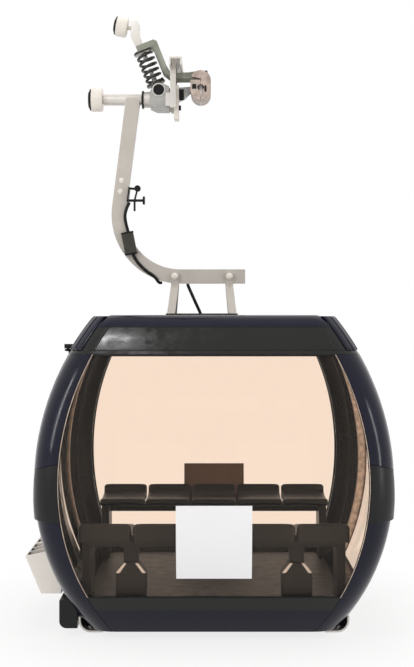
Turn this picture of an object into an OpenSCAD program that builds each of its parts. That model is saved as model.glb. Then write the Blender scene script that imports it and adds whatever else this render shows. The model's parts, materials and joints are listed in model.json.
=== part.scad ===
// Ten-seat gondola cabin with its hanger arm and detachable rope grip.
// X runs across the cabin, towards the closed side; the doors are at -X.
// Y runs along the rope, Z is up. The origin is the centre of the rope
// in the closed grip, and everything hangs below it.

/* [Cabin] */
// Width of the cabin at its widest line
body_w = 2430; // [2000:10:2920]
// Length of the cabin along the rope at its widest line
body_l = 2300; // [1910:10:2760]
// Height of the cabin, underside to roof
body_h = 2190; // [1900:10:2600]
// Height of the widest line above the underside
widest_z = 1057; // [950:1:1200]
// Radius of the wall's bulge above the widest line
bulge_up = 1890; // [1800:10:3000]
// Radius of the wall's bulge below the widest line
bulge_low = 1795; // [1600:10:3000]
// Radius of the upright corners
corner_r = 175; // [120:5:240]
// Thickness of the walls and corner posts
wall_t = 60; // [45:1:75]
// Thickness of the window panes
glass_t = 10; // [6:1:14]
// Height of the floor's surface
floor_z = 230; // [210:1:250]
// Thickness of the floor
floor_t = 110; // [80:1:130]
// Height of the windows' lower edge
sill_z = 275; // [265:1:330]
// Distance from the roof's top to the windows' upper edge
header_drop = 269; // [240:1:320]
// Height of the header frame
header_h = 29; // [24:1:40]
// Height of the roof moulding
roof_t = 82; // [60:1:100]
// Height of the corner bumpers' lower edge
bumper_low = 813; // [750:1:870]
// Height of the corner bumpers' upper edge at the side
bumper_high = 1138; // [1100:1:1200]
// How much higher that edge is at the window
bumper_rise = 62; // [0:1:80]
// How far the bumpers stand out at their lower edge
bumper_out = 18; // [8:1:30]
// How far the roof rails stand out from the wall
rail_proud = 12; // [8:1:20]

/* [Doors] */
// Half the width of the doorway
door_half = 490; // [400:5:560]
// Width of the pillars beside the doorway
pillar_w = 44; // [30:1:60]
// Thickness of a door leaf
door_t = 45; // [30:1:55]
// Height of the doors' lower edge
door_low = 242; // [238:1:260]
// Width of a door's frame around its pane
door_rim = 62; // [45:1:90]
// Gap between the leaves and around them
door_gap = 6; // [5:1:10]
// Length of the swing arms between their pins
arm_len = 245; // [200:5:260]
// Distance of the swing arms' pins from the cabin's centre plane
arm_x = 1035; // [1020:1:1060]
// Radius of the swing arms' pins
arm_pin_r = 9; // [6:1:12]

/* [Seats] */
// Seats on each bench
seats = 5; // [4:1:5]
// Distance between neighbouring seats
seat_pitch = 370; // [340:5:400]
// Height of the seat's surface above the floor
seat_h = 480; // [400:5:520]
// Depth of a seat, front to back
seat_d = 430; // [380:5:460]
// Height of the lip at the back of a seat
seat_lip = 65; // [30:5:120]

/* [Hanger] */
// Height of the rope above the roof
rope_h = 1700; // [1500:10:2000]
// Distance of the rope from the cabin's centre, towards the doors
rope_shift = 100; // [60:5:140]
// Width of the hanger arm, seen along the rope
arm_w = 106; // [90:2:130]
// Thickness of the hanger arm along the rope
arm_t = 90; // [70:2:110]
// Lean of the hanger arm, outward going down
arm_lean = 7.3; // [4:0.1:10]
// Radius of the hanger's bend
bend_r = 466; // [400:2:520]
// Height of the tail's centre above the roof
tail_h = 292; // [240:2:340]
// Diameter of the axle that the hanger swings on
axle_d = 50; // [40:1:60]
// Radial clearance of turning parts on their pins
run_gap = 0.05; // [0.02:0.01:0.1]

/* [Grip] */
// Diameter of the rope that the jaws close on
rope_d = 50; // [44:1:54]
// Length of the jaws along the rope
jaw_len = 280; // [220:10:320]
// Distance of the axle below the rope
axle_drop = 70; // [60:1:90]
// Diameter of the running wheel
wheel_d = 178; // [150:2:200]
// Diameter of the coupling roller
roller_d = 155; // [130:1:170]
// Length of the friction plate
plate_l = 700; // [500:10:800]
// Turns of the grip's spring
spring_turns = 5; // [4:1:7]
// Diameter of the spring's wire
spring_wire = 21; // [16:1:24]
// Outer diameter of the spring
spring_d = 138; // [120:1:145]

/* [Hidden] */
$fn = 48;

navy = [0.10, 0.10, 0.19];
black = [0.08, 0.08, 0.08];
grey = [0.30, 0.30, 0.31];
steel = [0.72, 0.71, 0.68];
cast = [0.55, 0.55, 0.50];
nylon = [0.94, 0.92, 0.87];
tint = [0.75, 0.60, 0.48, 0.5];

level_step = 75;         // height of a facet of the bulged walls
arc_steps = 8;           // facets in an upright corner
fit = 0.5;               // gap between pieces that are bolted or bonded together
seal = 3;                // gap that a window's seal fills at its upright edges
panel_gap = 2;           // gap around the floor and the ceiling
header_z = body_h - header_drop;
cap_z = header_z + header_h;
lip_z = body_h - roof_t;

// ---------------------------------------------------------------- the bulged shell

// How far the wall has come in at height z, compared with the widest line
function drop(z) = let (dz = z - widest_z, r = dz > 0 ? bulge_up : bulge_low)
    r - sqrt(r * r - dz * dz);
function half_x(z) = body_w / 2 - drop(z);
function half_y(z) = body_l / 2 - drop(z);
// Where the flat of a wall ends and the corner's arc begins
function flat_x(z) = half_x(z) - corner_r;
function flat_y(z) = half_y(z) - corner_r;
function mix(a, b, t) = a + (b - a) * t;
function steps(length, step) = max(1, ceil(length / step));

// A point of the corner at +X, -Y: angle 0 is at the side, 90 at the end
function corner_point(a, z, inset) = [
    flat_x(z) + (corner_r - inset) * cos(a),
    -flat_y(z) - (corner_r - inset) * sin(a),
    z
];

// A closed solid between two curved skins. outer and inner give a point for
// u and v from 0 to 1, and nu and nv are the facets each way.
module patch(outer, inner, nu, nv) {
    rows = nv + 1;
    cols = nu + 1;
    size = rows * cols;
    points = [for (skin = [outer, inner]) for (j = [0:nv]) for (i = [0:nu]) skin(i / nu, j / nv)];
    function at(k, i, j) = k * size + j * cols + i;
    function quad(a, b, c, d) = [[a, b, c], [a, c, d]];
    sheets = [for (j = [0:nv - 1]) for (i = [0:nu - 1]) each concat(
        quad(at(0, i, j), at(0, i, j + 1), at(0, i + 1, j + 1), at(0, i + 1, j)),
        quad(at(1, i, j), at(1, i + 1, j), at(1, i + 1, j + 1), at(1, i, j + 1)))];
    ends = [for (i = [0:nu - 1]) each concat(
        quad(at(0, i, 0), at(0, i + 1, 0), at(1, i + 1, 0), at(1, i, 0)),
        quad(at(0, i, nv), at(1, i, nv), at(1, i + 1, nv), at(0, i + 1, nv)))];
    sides = [for (j = [0:nv - 1]) each concat(
        quad(at(0, 0, j), at(1, 0, j), at(1, 0, j + 1), at(0, 0, j + 1)),
        quad(at(0, nu, j), at(0, nu, j + 1), at(1, nu, j + 1), at(1, nu, j)))];
    polyhedron(points, concat(sheets, ends, sides));
}

// A piece of the corner at +X, -Y, between z0 and z1. Its edges rise by rise0 and rise1
// from the side to the end, and its lower edge stands proud by out.
module corner_piece(z0, z1, rise0 = 0, rise1 = 0, out = 0) {
    function level(u, v) = mix(z0 + rise0 * (1 - u), z1 + rise1 * (1 - u), v);
    patch(
        function (u, v) corner_point(90 * (1 - u), level(u, v), -out * (1 - v)),
        function (u, v) corner_point(90 * (1 - u), level(u, v), wall_t),
        arc_steps, steps(z1 - z0, level_step));
}

// The part of that corner between the angles a0 and a1, from inset on
module corner_strip(z0, z1, a0, a1, inset) {
    patch(
        function (u, v) corner_point(mix(a1, a0, u), mix(z0, z1, v), inset),
        function (u, v) corner_point(mix(a1, a0, u), mix(z0, z1, v), wall_t),
        ceil(arc_steps * (a1 - a0) / 90), steps(z1 - z0, level_step));
}

module four_corners() {
    for (mx = [0, 1]) for (my = [0, 1])
        mirror([mx, 0, 0]) mirror([0, my, 0]) children();
}

// A panel of the side wall at +X, from y0 to y1, which are functions of the height
module side_panel(z0, z1, y0, y1, inset, thick) {
    patch(
        function (u, v) let (z = mix(z0, z1, v)) [half_x(z) - inset, mix(y0(z), y1(z), u), z],
        function (u, v) let (z = mix(z0, z1, v)) [half_x(z) - inset - thick, mix(y0(z), y1(z), u), z],
        1, steps(z1 - z0, level_step));
}

// A panel of the end wall at -Y, as wide as the flat less gap at each edge
module end_panel(z0, z1, inset, thick, gap = fit) {
    function skin_point(u, z, inset) = let (w = flat_x(z) - gap) [mix(-w, w, u), -half_y(z) + inset, z];
    patch(
        function (u, v) skin_point(u, mix(z0, z1, v), inset),
        function (u, v) skin_point(u, mix(z0, z1, v), inset + thick),
        1, steps(z1 - z0, level_step));
}

// The cabin's outline at height z, inset by that much, as a loop of points
function outline(z, inset) = [for (q = [0:3]) for (i = [0:arc_steps])
    let (
        a = 90 * (q + i / arc_steps),
        cx = (q == 0 || q == 3 ? 1 : -1) * flat_x(z),
        cy = (q < 2 ? 1 : -1) * flat_y(z)
    )
    [cx + (corner_r - inset) * cos(a), cy + (corner_r - inset) * sin(a), z]];

// A closed frame that follows the outline between z0 and z1
module outline_ring(z0, z1, inset, thick) {
    loops = [outline(z0, inset), outline(z1, inset), outline(z1, inset + thick), outline(z0, inset + thick)];
    n = len(loops[0]);
    faces = [for (k = [0:3]) for (i = [0:n - 1])
        let (
            next = (i + 1) % n,
            a = k * n + i,
            b = k * n + next,
            c = ((k + 1) % 4) * n + i,
            d = ((k + 1) % 4) * n + next
        )
        each [[a, c, d], [a, d, b]]];
    polyhedron([for (l = loops) each l], faces);
}

// Puts a piece of the cabin where it hangs
module hung() {
    translate([rope_shift, 0, -rope_h - body_h]) children();
}

module rounded_rect(w, l, r) {
    square([w - 2 * r, l], center = true);
    square([w, l - 2 * r], center = true);
    for (x = [-1, 1]) for (y = [-1, 1])
        translate([x * (w / 2 - r), y * (l / 2 - r)]) circle(r);
}

// The room between the walls at height z, less the gap around it
module room_outline(z) {
    inset = wall_t + panel_gap;
    rounded_rect(2 * (half_x(z) - inset), 2 * (half_y(z) - inset), corner_r - inset);
}

// Draws a 2D outline in the XZ plane and gives it length along Y, centred
module along_y(length) {
    rotate([90, 0, 0]) linear_extrude(length, center = true) children();
}

module along_x(length, d) {
    rotate([0, 90, 0]) cylinder(h = length, d = d);
}

// ---------------------------------------------------------------- roof

roof_edge = [             // rows of the roof's edge: [distance below the top, inset]
    [roof_t, 0], [60, 0], [30, 8], [8, 30], [0, 60]
];
rail_top = 8;            // distance of a rail's top below the roof's top
rail_gap = 4;            // gap between a rail and the roof
rail_wrap = 60;          // angle of a corner that the rail's end wraps
rail_end = rail_wrap + 1; // angle where the roof and the fascia go on
rail_z = body_h - rail_top;

// The roof's outline at height z. Beside the rails it stays clear of them, and at the
// ends it reaches the wall's skin.
function roof_loop(z, inset) =
    let (
        back = wall_t + rail_gap,
        quarter = concat(
            [for (i = [0:arc_steps]) [rail_end * i / arc_steps, back]],
            [for (i = [0:arc_steps / 2]) [mix(rail_end, 90, 2 * i / arc_steps), 0]])
    )
    [for (q = [0:3]) for (i = [0:len(quarter) - 1])
        let (
            // Every other quarter runs backwards, so that the loop goes on round
            p = quarter[q % 2 == 0 ? i : len(quarter) - 1 - i],
            r = corner_r - p[1] - inset,
            sx = q == 0 || q == 3 ? 1 : -1,
            sy = q < 2 ? 1 : -1
        )
        [sx * (flat_x(z) + r * cos(p[0])), sy * (flat_y(z) + r * sin(p[0])), z]];

module roof_shell() {
    loops = [for (row = roof_edge) roof_loop(body_h - row[0], row[1])];
    n = len(loops[0]);
    sides = [for (k = [0:len(loops) - 2]) for (i = [0:n - 1])
        let (a = k * n + i, b = k * n + (i + 1) % n, c = a + n, d = b + n)
        each [[a, c, d], [a, d, b]]];
    bottom = [for (i = [0:n - 1]) i];
    top = [for (i = [0:n - 1]) len(loops) * n - 1 - i];
    color(navy) hung() polyhedron([for (l = loops) each l], concat(sides, [bottom, top]));
}

ceiling_t = 20;

module ceiling_panel() {
    color([0.8, 0.8, 0.78]) hung() translate([0, 0, cap_z]) linear_extrude(ceiling_t)
        room_outline(cap_z + ceiling_t);
}

// Each fascia is a flat panel with a strip at either side that turns into the corner
module end_fascias() {
    color(black) hung() {
        for (m = [0, 1]) mirror([0, m, 0]) end_panel(cap_z, lip_z - fit, 0, wall_t);
        four_corners() corner_strip(cap_z, lip_z - fit, rail_end, 90, 0);
    }
}

// A rail runs along the top of each side wall, and its ends wrap round the corners
module roof_rails() {
    color(navy) hung() {
        for (m = [0, 1]) mirror([m, 0, 0])
            side_panel(cap_z, rail_z, function (z) -flat_y(z) + fit, function (z) flat_y(z) - fit,
                -rail_proud, wall_t + rail_proud);
        four_corners() corner_strip(cap_z, rail_z, 0, rail_wrap, -rail_proud);
    }
}

module header_frame() {
    color(black) hung() outline_ring(header_z, cap_z, 0, wall_t);
}

// ---------------------------------------------------------------- corners and windows

module upper_corner_posts() {
    color(navy) hung() four_corners() corner_piece(bumper_high, header_z, bumper_rise, 0);
}

module corner_bumpers() {
    color(black) hung() four_corners()
        corner_piece(bumper_low, bumper_high - fit, 0, bumper_rise, bumper_out);
}

module lower_corner_posts() {
    color(navy) hung() four_corners() corner_piece(0, bumper_low - fit);
}

module front_window() {
    color(tint) hung() end_panel(sill_z, header_z, 0, glass_t, seal);
}

module rear_window() {
    color(tint) hung() mirror([0, 1, 0]) end_panel(sill_z, header_z, 0, glass_t, seal);
}

pillar_y = door_half + pillar_w;

module right_windows() {
    color(tint) hung() {
        side_panel(sill_z, header_z, function (z) -door_half, function (z) door_half, 0, glass_t);
        outer_panes();
    }
}

module outer_panes() {
    for (m = [0, 1]) mirror([0, m, 0])
        side_panel(sill_z, header_z, function (z) pillar_y, function (z) flat_y(z) - seal, 0, glass_t);
}

module left_windows() {
    color(tint) hung() mirror([1, 0, 0]) outer_panes();
}

module side_pillars() {
    color(black) hung() for (mx = [0, 1]) for (my = [0, 1]) mirror([mx, 0, 0]) mirror([0, my, 0])
        side_panel(sill_z, header_z, function (z) door_half, function (z) pillar_y, 0, wall_t);
}

// ---------------------------------------------------------------- skirts and floor

sill_h = 195;            // height of the door sill's top

module end_skirt() {
    end_panel(0, sill_z, 0, wall_t);
}

module front_skirt() {
    color(navy) hung() end_skirt();
}

module rear_skirt() {
    color(navy) hung() mirror([0, 1, 0]) end_skirt();
}

module side_skirts() {
    color(navy) hung() {
        side_panel(0, sill_z, function (z) -flat_y(z) + fit, function (z) flat_y(z) - fit, 0, wall_t);
        mirror([1, 0, 0]) {
            side_panel(0, floor_z, function (z) fit - door_half, function (z) door_half - fit, 0, wall_t);
            for (m = [0, 1]) mirror([0, m, 0])
                side_panel(0, sill_z, function (z) door_half, function (z) flat_y(z) - fit, 0, wall_t);
        }
    }
}

module floor() {
    z0 = floor_z - floor_t;
    color(grey) hung() translate([0, 0, z0]) linear_extrude(floor_t) room_outline(z0);
}

guide_len = 1440;        // length of the guide rails
guide_r = 85;            // outer radius of a guide rail's curved section
guide_t = 14;            // thickness of its plate
guide_below = 26;        // how far it reaches below the cabin
guide_x = 945;           // distance of its outer face from the cabin's centre

guide_lip = 25;          // height of the upright lip above the curve
guide_foot = [110, 80];  // size of a foot, across and along
guide_end = 120;         // distance of a foot's middle from the rail's end

// One guide rail at +X: a plate that curls up under the cabin's edge, on two feet
module guide_rail(outer) {
    translate([outer - guide_r, 0, guide_r - guide_below]) along_y(guide_len) {
        intersection() {
            difference() {
                circle(guide_r);
                circle(guide_r - guide_t);
            }
            translate([0, -guide_r]) square(guide_r);
        }
        translate([-guide_r, -guide_r]) square([guide_r, guide_t]);
        translate([guide_r - guide_t, 0]) square([guide_t, guide_lip]);
    }
    foot_y = guide_len / 2 - guide_end;
    for (y = [-foot_y, foot_y])
        translate([outer - 2 * guide_r, y - guide_foot[1] / 2, guide_t - guide_below])
            cube([guide_foot[0], guide_foot[1], guide_below - guide_t - fit]);
}

module guide_rails() {
    color(steel) hung() {
        guide_rail(guide_x);
        mirror([1, 0, 0]) guide_rail(guide_x);
    }
}

sill_out = 1082;         // distance of the sill's outer face from the cabin's centre
sill_len = 1420;         // length of the sill along the doors
sill_r = 50;             // rounding of the sill's lower outer edge

sill_clear = 10;         // gap between the sill and the guide rail
skin_gap = 4;            // gap between the sill and the skirt

// Housing of the door drive, under the doors, with the pins that the lower arms turn on
module door_sill() {
    inner = guide_x + sill_clear;
    color(black) hung() {
        along_y(sill_len) difference() {
            union() {
                translate([-sill_out, sill_r]) square([sill_out - inner, sill_h - sill_r]);
                translate([-sill_out + sill_r, 0]) square([sill_out - inner - sill_r, sill_h]);
                translate([-sill_out + sill_r, sill_r]) circle(sill_r);
            }
            skirt_side();
        }
        for (s = [-1, 1]) translate([-arm_x, s * (arm_y_low + arm_len), sill_h - 1])
            cylinder(h = arm_low_z + arm_th + 3 - sill_h, r = arm_pin_r);
    }
}

// What the skirt takes out of the sill, in the XZ plane
module skirt_side() {
    past = 10;
    polygon([
        for (k = [0:4]) let (z = mix(-past, sill_h + past, k / 4)) [-half_x(max(z, 0)) - skin_gap, z],
        [0, sill_h + past],
        [0, -past]
    ]);
}

// ---------------------------------------------------------------- doors on the -X side

arm_y_low = 275;         // where the lower arm carries its leaf, from the doorway's middle
arm_y_up = 355;          // where the upper arm does
arm_th = 14;             // thickness of a swing arm
arm_wide = 44;           // width of a swing arm
arm_low_z = sill_h + 5;
door_top = header_z - door_gap;
arm_up_z = header_z + 15;
lug_t = 20;              // height of the lugs that hold a leaf's pins
leaf_in = door_gap / 2;  // edges of a leaf along Y
leaf_out = door_half - door_gap;
pane_low = door_low + door_rim + 30;
pane_top = door_top - door_rim;
pane_inset = 12;         // how far a door's pane lies behind its frame's face

// One leaf with its lugs and pins, for the half at +Y, drawn on the -X side
module leaf() {
    difference() {
        mirror([1, 0, 0])
            side_panel(door_low, door_top, function (z) leaf_in, function (z) leaf_out, 0, door_t);
        translate([-body_w, leaf_in + door_rim, pane_low])
            cube([body_w, leaf_out - leaf_in - 2 * door_rim, pane_top - pane_low]);
    }
    leaf_lug(arm_y_low, arm_low_z + arm_th + 5, 1);
    leaf_lug(arm_y_up, arm_up_z - 5 - lug_t, -1);
}

// A lug on the leaf's outer face, whose pin points down (dir 1) or up (dir -1)
module leaf_lug(y, z, dir) {
    foot = 50;
    face = half_x(dir > 0 ? door_low : door_top);
    low = dir > 0 ? z : door_top - foot;
    high = dir > 0 ? door_low + foot : z + lug_t;
    translate([-arm_x - arm_wide / 2, y - arm_wide / 2, low]) difference() {
        cube([arm_x + arm_wide / 2 - face + 3, arm_wide, high - low]);
        // Clears the swing arm's end
        translate([-1, -1, dir > 0 ? lug_t : -1]) cube([arm_wide - 6, arm_wide + 2, high - low - lug_t + 1]);
    }
    pin = arm_th + 5 + 3;
    translate([-arm_x, y, dir > 0 ? z - pin : z + lug_t - 1]) cylinder(h = pin + 1, r = arm_pin_r);
}

module leaf_glass() {
    mirror([1, 0, 0]) side_panel(pane_low, pane_top,
        function (z) leaf_in + door_rim, function (z) leaf_out - door_rim, pane_inset, glass_t);
}

rack_gap = 12;           // distance of a ski rack's end from the leaf's edge
rack_t = 12;             // thickness of its walls
rack_slots = 3;

// Section of a ski rack across the door: [distance from the cabin's centre, height]
rack_section = [[1357, 460], [1150, 500], [1052, 262], [1096, 250], [1096, 189], [1243, 189]];

// Section of one of its slots
slot_section = [
    [1344, 520], [1344, 452], [1234, 201], [1108, 201], [1108, 262], [1068, 270], [1160, 492], [1160, 520]
];
bracket_z = [270, 320];  // heights of the brackets that join a rack to its leaf
bracket_w = 30;
bracket_in = 60;         // distance of a bracket from the rack's end

function left(section) = [for (p = section) [-p[0], p[1]]];
// Distance of the rack's back from the cabin's centre
function rack_back(z) = let (a = rack_section[2], b = rack_section[1])
    mix(a[0], b[0], (z - a[1]) / (b[1] - a[1]));

module rack() {
    y0 = leaf_in + rack_gap;
    y1 = leaf_out - rack_gap;
    pitch = (y1 - y0 - rack_t) / rack_slots;
    difference() {
        translate([0, (y0 + y1) / 2, 0]) along_y(y1 - y0) polygon(left(rack_section));
        for (k = [0:rack_slots - 1]) translate([0, y0 + rack_t / 2 + (k + 0.5) * pitch, 0])
            along_y(pitch - rack_t) polygon(left(slot_section));
    }
    for (y = [y0 + bracket_in, y1 - bracket_in]) translate([0, y, 0]) along_y(bracket_w)
        polygon([
            for (z = bracket_z) [-half_x(z) - fit, z],
            for (z = [bracket_z[1], bracket_z[0]]) [-rack_back(z) - 3, z]
        ]);
}

module swing_arm() {
    // From its pin on the cabin, at the origin, towards -Y to its pin on the leaf
    difference() {
        union() {
            translate([-arm_wide / 2, -arm_len, 0]) cube([arm_wide, arm_len, arm_th]);
            for (y = [0, -arm_len]) translate([0, y, 0]) cylinder(h = arm_th, r = arm_wide / 2);
        }
        for (y = [0, -arm_len]) translate([0, y, -1]) cylinder(h = arm_th + 2, r = arm_pin_r + run_gap);
    }
}

// The rear leaf is drawn at +Y, and the front one is its mirror image
module rear_side() { hung() children(); }
module front_side() { hung() mirror([0, 1, 0]) children(); }

module door_leaf() { color(navy) leaf(); }
module door_pane() { color(tint) leaf_glass(); }
module door_rack() { color(steel) rack(); }
module lower_arm() { color(steel) translate([-arm_x, arm_y_low + arm_len, arm_low_z]) swing_arm(); }
module upper_arm() { color(steel) translate([-arm_x, arm_y_up + arm_len, arm_up_z]) swing_arm(); }

bracket_h = 30;          // height of the brackets on the roof rail
arm_gap = 5;             // gap between a swing arm and what is above it

// Brackets on the roof rail that carry the upper arms' pins
module door_arm_brackets() {
    z = arm_up_z + arm_th + arm_gap;
    reach = arm_x + arm_wide / 2;
    color(black) hung() for (m = [0, 1]) mirror([0, m, 0]) translate([0, arm_y_up + arm_len, 0]) {
        difference() {
            translate([-reach, -arm_wide / 2, z]) cube([reach - half_x(z + bracket_h), arm_wide, bracket_h]);
            mirror([1, 0, 0])
                side_panel(cap_z, rail_z, function (z) -arm_wide, function (z) arm_wide,
                    -rail_proud - fit, wall_t);
        }
        translate([-arm_x, 0, arm_up_z - 3]) cylinder(h = arm_th + arm_gap + 4, r = arm_pin_r);
    }
}

// ---------------------------------------------------------------- benches

seat_gap = 14;           // gap between neighbouring seats
seat_t = 42;             // thickness of a seat
bench_back = 70;         // distance of a seat's back from the wall's inside
bench_y = half_y(floor_z + seat_h) - wall_t - bench_back;
bench_half = seats * seat_pitch / 2;
panel_t = 60;            // thickness of the bench's end panels

// Section of a seat along Y, its back at 0 and its front at +seat_d
module seat_section() {
    roll_d = seat_t + 16;
    translate([0, -seat_t]) square([seat_d - roll_d / 2, seat_t]);
    translate([seat_d - roll_d / 2, -roll_d / 2]) circle(d = roll_d);
    translate([0, -roll_d]) square([30, seat_lip + roll_d]);
}

// The bench at the -Y end, its seats facing +Y
module seats_row() {
    for (k = [0:seats - 1])
        translate([(k - (seats - 1) / 2) * seat_pitch, -bench_y, floor_z + seat_h])
            rotate([90, 0, 90]) linear_extrude(seat_pitch - seat_gap, center = true) seat_section();
}

panel_in = 20;           // distance of an end panel's face from the bench's end
panel_back = 140;        // distance of the frame from the seats' backs
beam = [160, 60];        // depth and height of the beam under the seats
pedestal_x = 570;        // distance of the pedestals from the bench's middle
pedestal = [100, 100];   // width and depth of a pedestal
flare = 105;             // half the width of its foot
flare_h = 190;           // height of the foot's upright sides

module bench_frame(pedestals) {
    top = floor_z + seat_h - seat_t - 16 - fit;
    half = bench_half - panel_in;
    translate([-half, -bench_y + panel_back, top - beam[1]]) cube([2 * half, beam[0], beam[1]]);
    // A panel at each end, down to the floor
    for (s = [-1, 1]) translate([s > 0 ? half - panel_t : -half, -bench_y + panel_back, floor_z])
        cube([panel_t, seat_d - 150, top - floor_z]);
    pedestal_y = -bench_y + panel_back + pedestal[1] / 2;
    if (pedestals) for (s = [-1, 1]) translate([s * pedestal_x, pedestal_y, floor_z]) {
        translate([-pedestal[0] / 2, -pedestal[1] / 2, 0]) cube([pedestal[0], pedestal[1], top - floor_z]);
        // Its flared foot
        along_y(pedestal[1] + 40) polygon([
            [-flare, 0], [flare, 0], [flare, flare_h], [pedestal[0] / 2, flare_h + 70],
            [-pedestal[0] / 2, flare_h + 70], [-flare, flare_h]
        ]);
    }
}

module front_seats() { color(black) hung() seats_row(); }
module rear_seats() { color(black) hung() mirror([0, 1, 0]) seats_row(); }
module front_bench_frame() { color(grey) hung() bench_frame(true); }
module rear_bench_frame() { color(grey) hung() mirror([0, 1, 0]) bench_frame(false); }

// ---------------------------------------------------------------- hanger

arm_x_top = -512;        // where the arm's centre line meets the axle
tail_z = -rope_h + tail_h;
tail_right = 335;        // right end of the tail
leg_x = [-195, 215];     // where the legs meet the tail
leg_w = 58;              // width of a leg
leg_t = 14;              // thickness of a leg
leg_foot = 22;           // how far a leg's foot stands out from its top along X
leg_spread = 190;        // how far a leg's foot stands out from its top along Y
hub_d = 84;              // diameter of the hub on the axle
hub_x = [-735, -450];    // ends of the hub

// Height and place of the bend's centre, and where the bend meets the leaning arm
bend_z = tail_z + bend_r;
arm_at_bend = [-bend_r * cos(arm_lean), bend_r * sin(arm_lean)];
// The leaning line passes through the axle, which fixes the bend's centre
bend_x = arm_x_top - (-axle_drop - bend_z - arm_at_bend[1]) * tan(arm_lean) - arm_at_bend[0];

module hanger_outline() {
    // Leaning part, from the bend up to the axle
    top = -axle_drop - bend_z - arm_at_bend[1];
    translate([bend_x + arm_at_bend[0], bend_z + arm_at_bend[1]]) rotate(-arm_lean)
        translate([-arm_w / 2, -1]) square([arm_w, top / cos(arm_lean) + 1]);
    // Bend: the ring's part between the leaning part and the tail
    translate([bend_x, bend_z]) intersection() {
        difference() {
            circle(bend_r + arm_w / 2, $fn = 96);
            circle(bend_r - arm_w / 2, $fn = 96);
        }
        far = 2 * bend_r;
        polygon([[0, 0], far * [-cos(arm_lean), sin(arm_lean)], [-far, -far], [0, -far]]);
    }
    // Tail
    translate([bend_x - 1, tail_z - arm_w / 2]) square([tail_right - bend_x + 1, arm_w]);
}

module hanger_arm() {
    color(steel) difference() {
        union() {
            along_y(arm_t) hanger_outline();
            translate([hub_x[0], 0, -axle_drop]) along_x(hub_x[1] - hub_x[0], hub_d);
        }
        translate([hub_x[0] - 1, 0, -axle_drop]) along_x(hub_x[1] - hub_x[0] + 2, axle_d + 2 * run_gap);
        for (x = leg_x) translate([x, 0, tail_z]) rotate([90, 0, 0])
            cylinder(h = arm_t + 2, r = leg_pin_r + fit, center = true);
    }
}

leg_pin_r = 16;          // radius of the pins that hold the legs
leg_top = 18;            // how far a leg reaches above the tail's centre
mount_h = 12;            // height of the beams on the roof

// A leg at -Y: an upright plate beside the tail that slants out to the roof below it
module leg(x, dir) {
    y_top = -arm_t / 2 - fit - leg_t;
    foot_z = -rope_h + mount_h + fit;
    knee_z = tail_z - arm_w / 2 - 14;
    slant_x = -dir * leg_foot / (knee_z - foot_z);
    slant_y = leg_spread / (knee_z - foot_z);
    translate([x - leg_w / 2, y_top, knee_z]) cube([leg_w, leg_t, tail_z + leg_top - knee_z]);
    translate([x - leg_w / 2, y_top, knee_z])
        multmatrix([[1, 0, slant_x, 0], [0, 1, slant_y, 0], [0, 0, 1, 0]])
            translate([0, 0, foot_z - knee_z]) cube([leg_w, leg_t, knee_z - foot_z]);
}

// Each pair of legs with the pin that joins it through the tail
module hanger_legs() {
    head = 12;
    reach = arm_t + 2 * (leg_t + fit) + 2;
    color(steel) {
        for (my = [0, 1]) mirror([0, my, 0]) {
            leg(leg_x[0], -1);
            leg(leg_x[1], 1);
        }
        for (x = leg_x) translate([x, 0, tail_z]) rotate([90, 0, 0]) {
            cylinder(h = reach, r = leg_pin_r, center = true);
            for (m = [0, 1]) mirror([0, 0, m]) translate([0, 0, reach / 2 - 1.5]) cylinder(h = head, r = 27);
        }
    }
}

// Two flat beams along the roof that the legs stand on
module roof_mounts() {
    past = 60;
    wide = 80;
    y = arm_t / 2 + fit + leg_t / 2 + leg_spread;
    color(grey) for (s = [-1, 1]) translate([leg_x[0] - past, s * y - wide / 2, -rope_h + fit])
        cube([leg_x[1] - leg_x[0] + 2 * past, wide, mount_h - fit]);
}

// ---------------------------------------------------------------- door cable on the hanger

cable_d = 24;
cable_y = -arm_t / 2 - cable_d / 2 - 1;
// The cable runs down the arm's front face from the lever, turns under the bend and goes into the arm
upper_route = [
    [-541, cable_y, -852], [-543, cable_y, -864], [-557, cable_y, -895], [-570, cable_y, -950],
    [-562, cable_y, -1015], [-545, cable_y, -1078], [-528, cable_y, -1170], [-510, cable_y, -1240],
    [-486, cable_y, -1288], [-450, cable_y, -1332], [-408, cable_y, -1370], [-366, cable_y, -1398],
    [-338, cable_y - 1, -1426], [-318, -56, -1457], [-306, -34, -1471], [-301, -14, -1463], [-300, -9, -1448]
];
// It comes out under the tail and goes down through the roof
lower_route = [
    [-98, 0, -1463.5], [-97, 0, -1475], [-86, 0, -1502], [-62, 0, -1556], [-36, 0, -1614],
    [-12, 0, -1666], [-4, 0, -1686], [-4, 0, -1699.5]
];

// A round tube of diameter d through the points of route
module tube(route, d, n = 8) {
    last = len(route) - 1;
    function unit(v) = v / norm(v);
    function along(i) = unit(route[min(i + 1, last)] - route[max(i - 1, 0)]);
    rings = [for (i = [0:last])
        let (t = along(i), a = unit(cross(t, [0.05, 1, 0.02])), b = cross(t, a))
        for (k = [0:n - 1]) route[i] + d / 2 * (cos(360 * k / n) * a + sin(360 * k / n) * b)];
    faces = concat(
        [for (i = [0:last - 1]) for (k = [0:n - 1])
            let (p = i * n + k, q = i * n + (k + 1) % n)
            each [[p, q, q + n], [p, q + n, p + n]]],
        [[for (k = [0:n - 1]) n - 1 - k], [for (k = [0:n - 1]) last * n + k]]);
    polyhedron(rings, faces);
}

module door_cable() {
    color(black) {
        tube(upper_route, cable_d);
        tube(lower_route, cable_d);
    }
}

// Clamp that holds the cable against the arm's front face
module cable_sleeve() {
    depth = cable_d + 18;
    color([0.2, 0.2, 0.18]) translate([-537, -arm_t / 2 - fit, -1160]) rotate([0, -11, 0]) difference() {
        translate([-46, -depth, -85]) cube([90, depth, 170]);
        translate([-16, -cable_d - 8, -86]) cube([44, cable_d + 9, 172]);
    }
}

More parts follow.
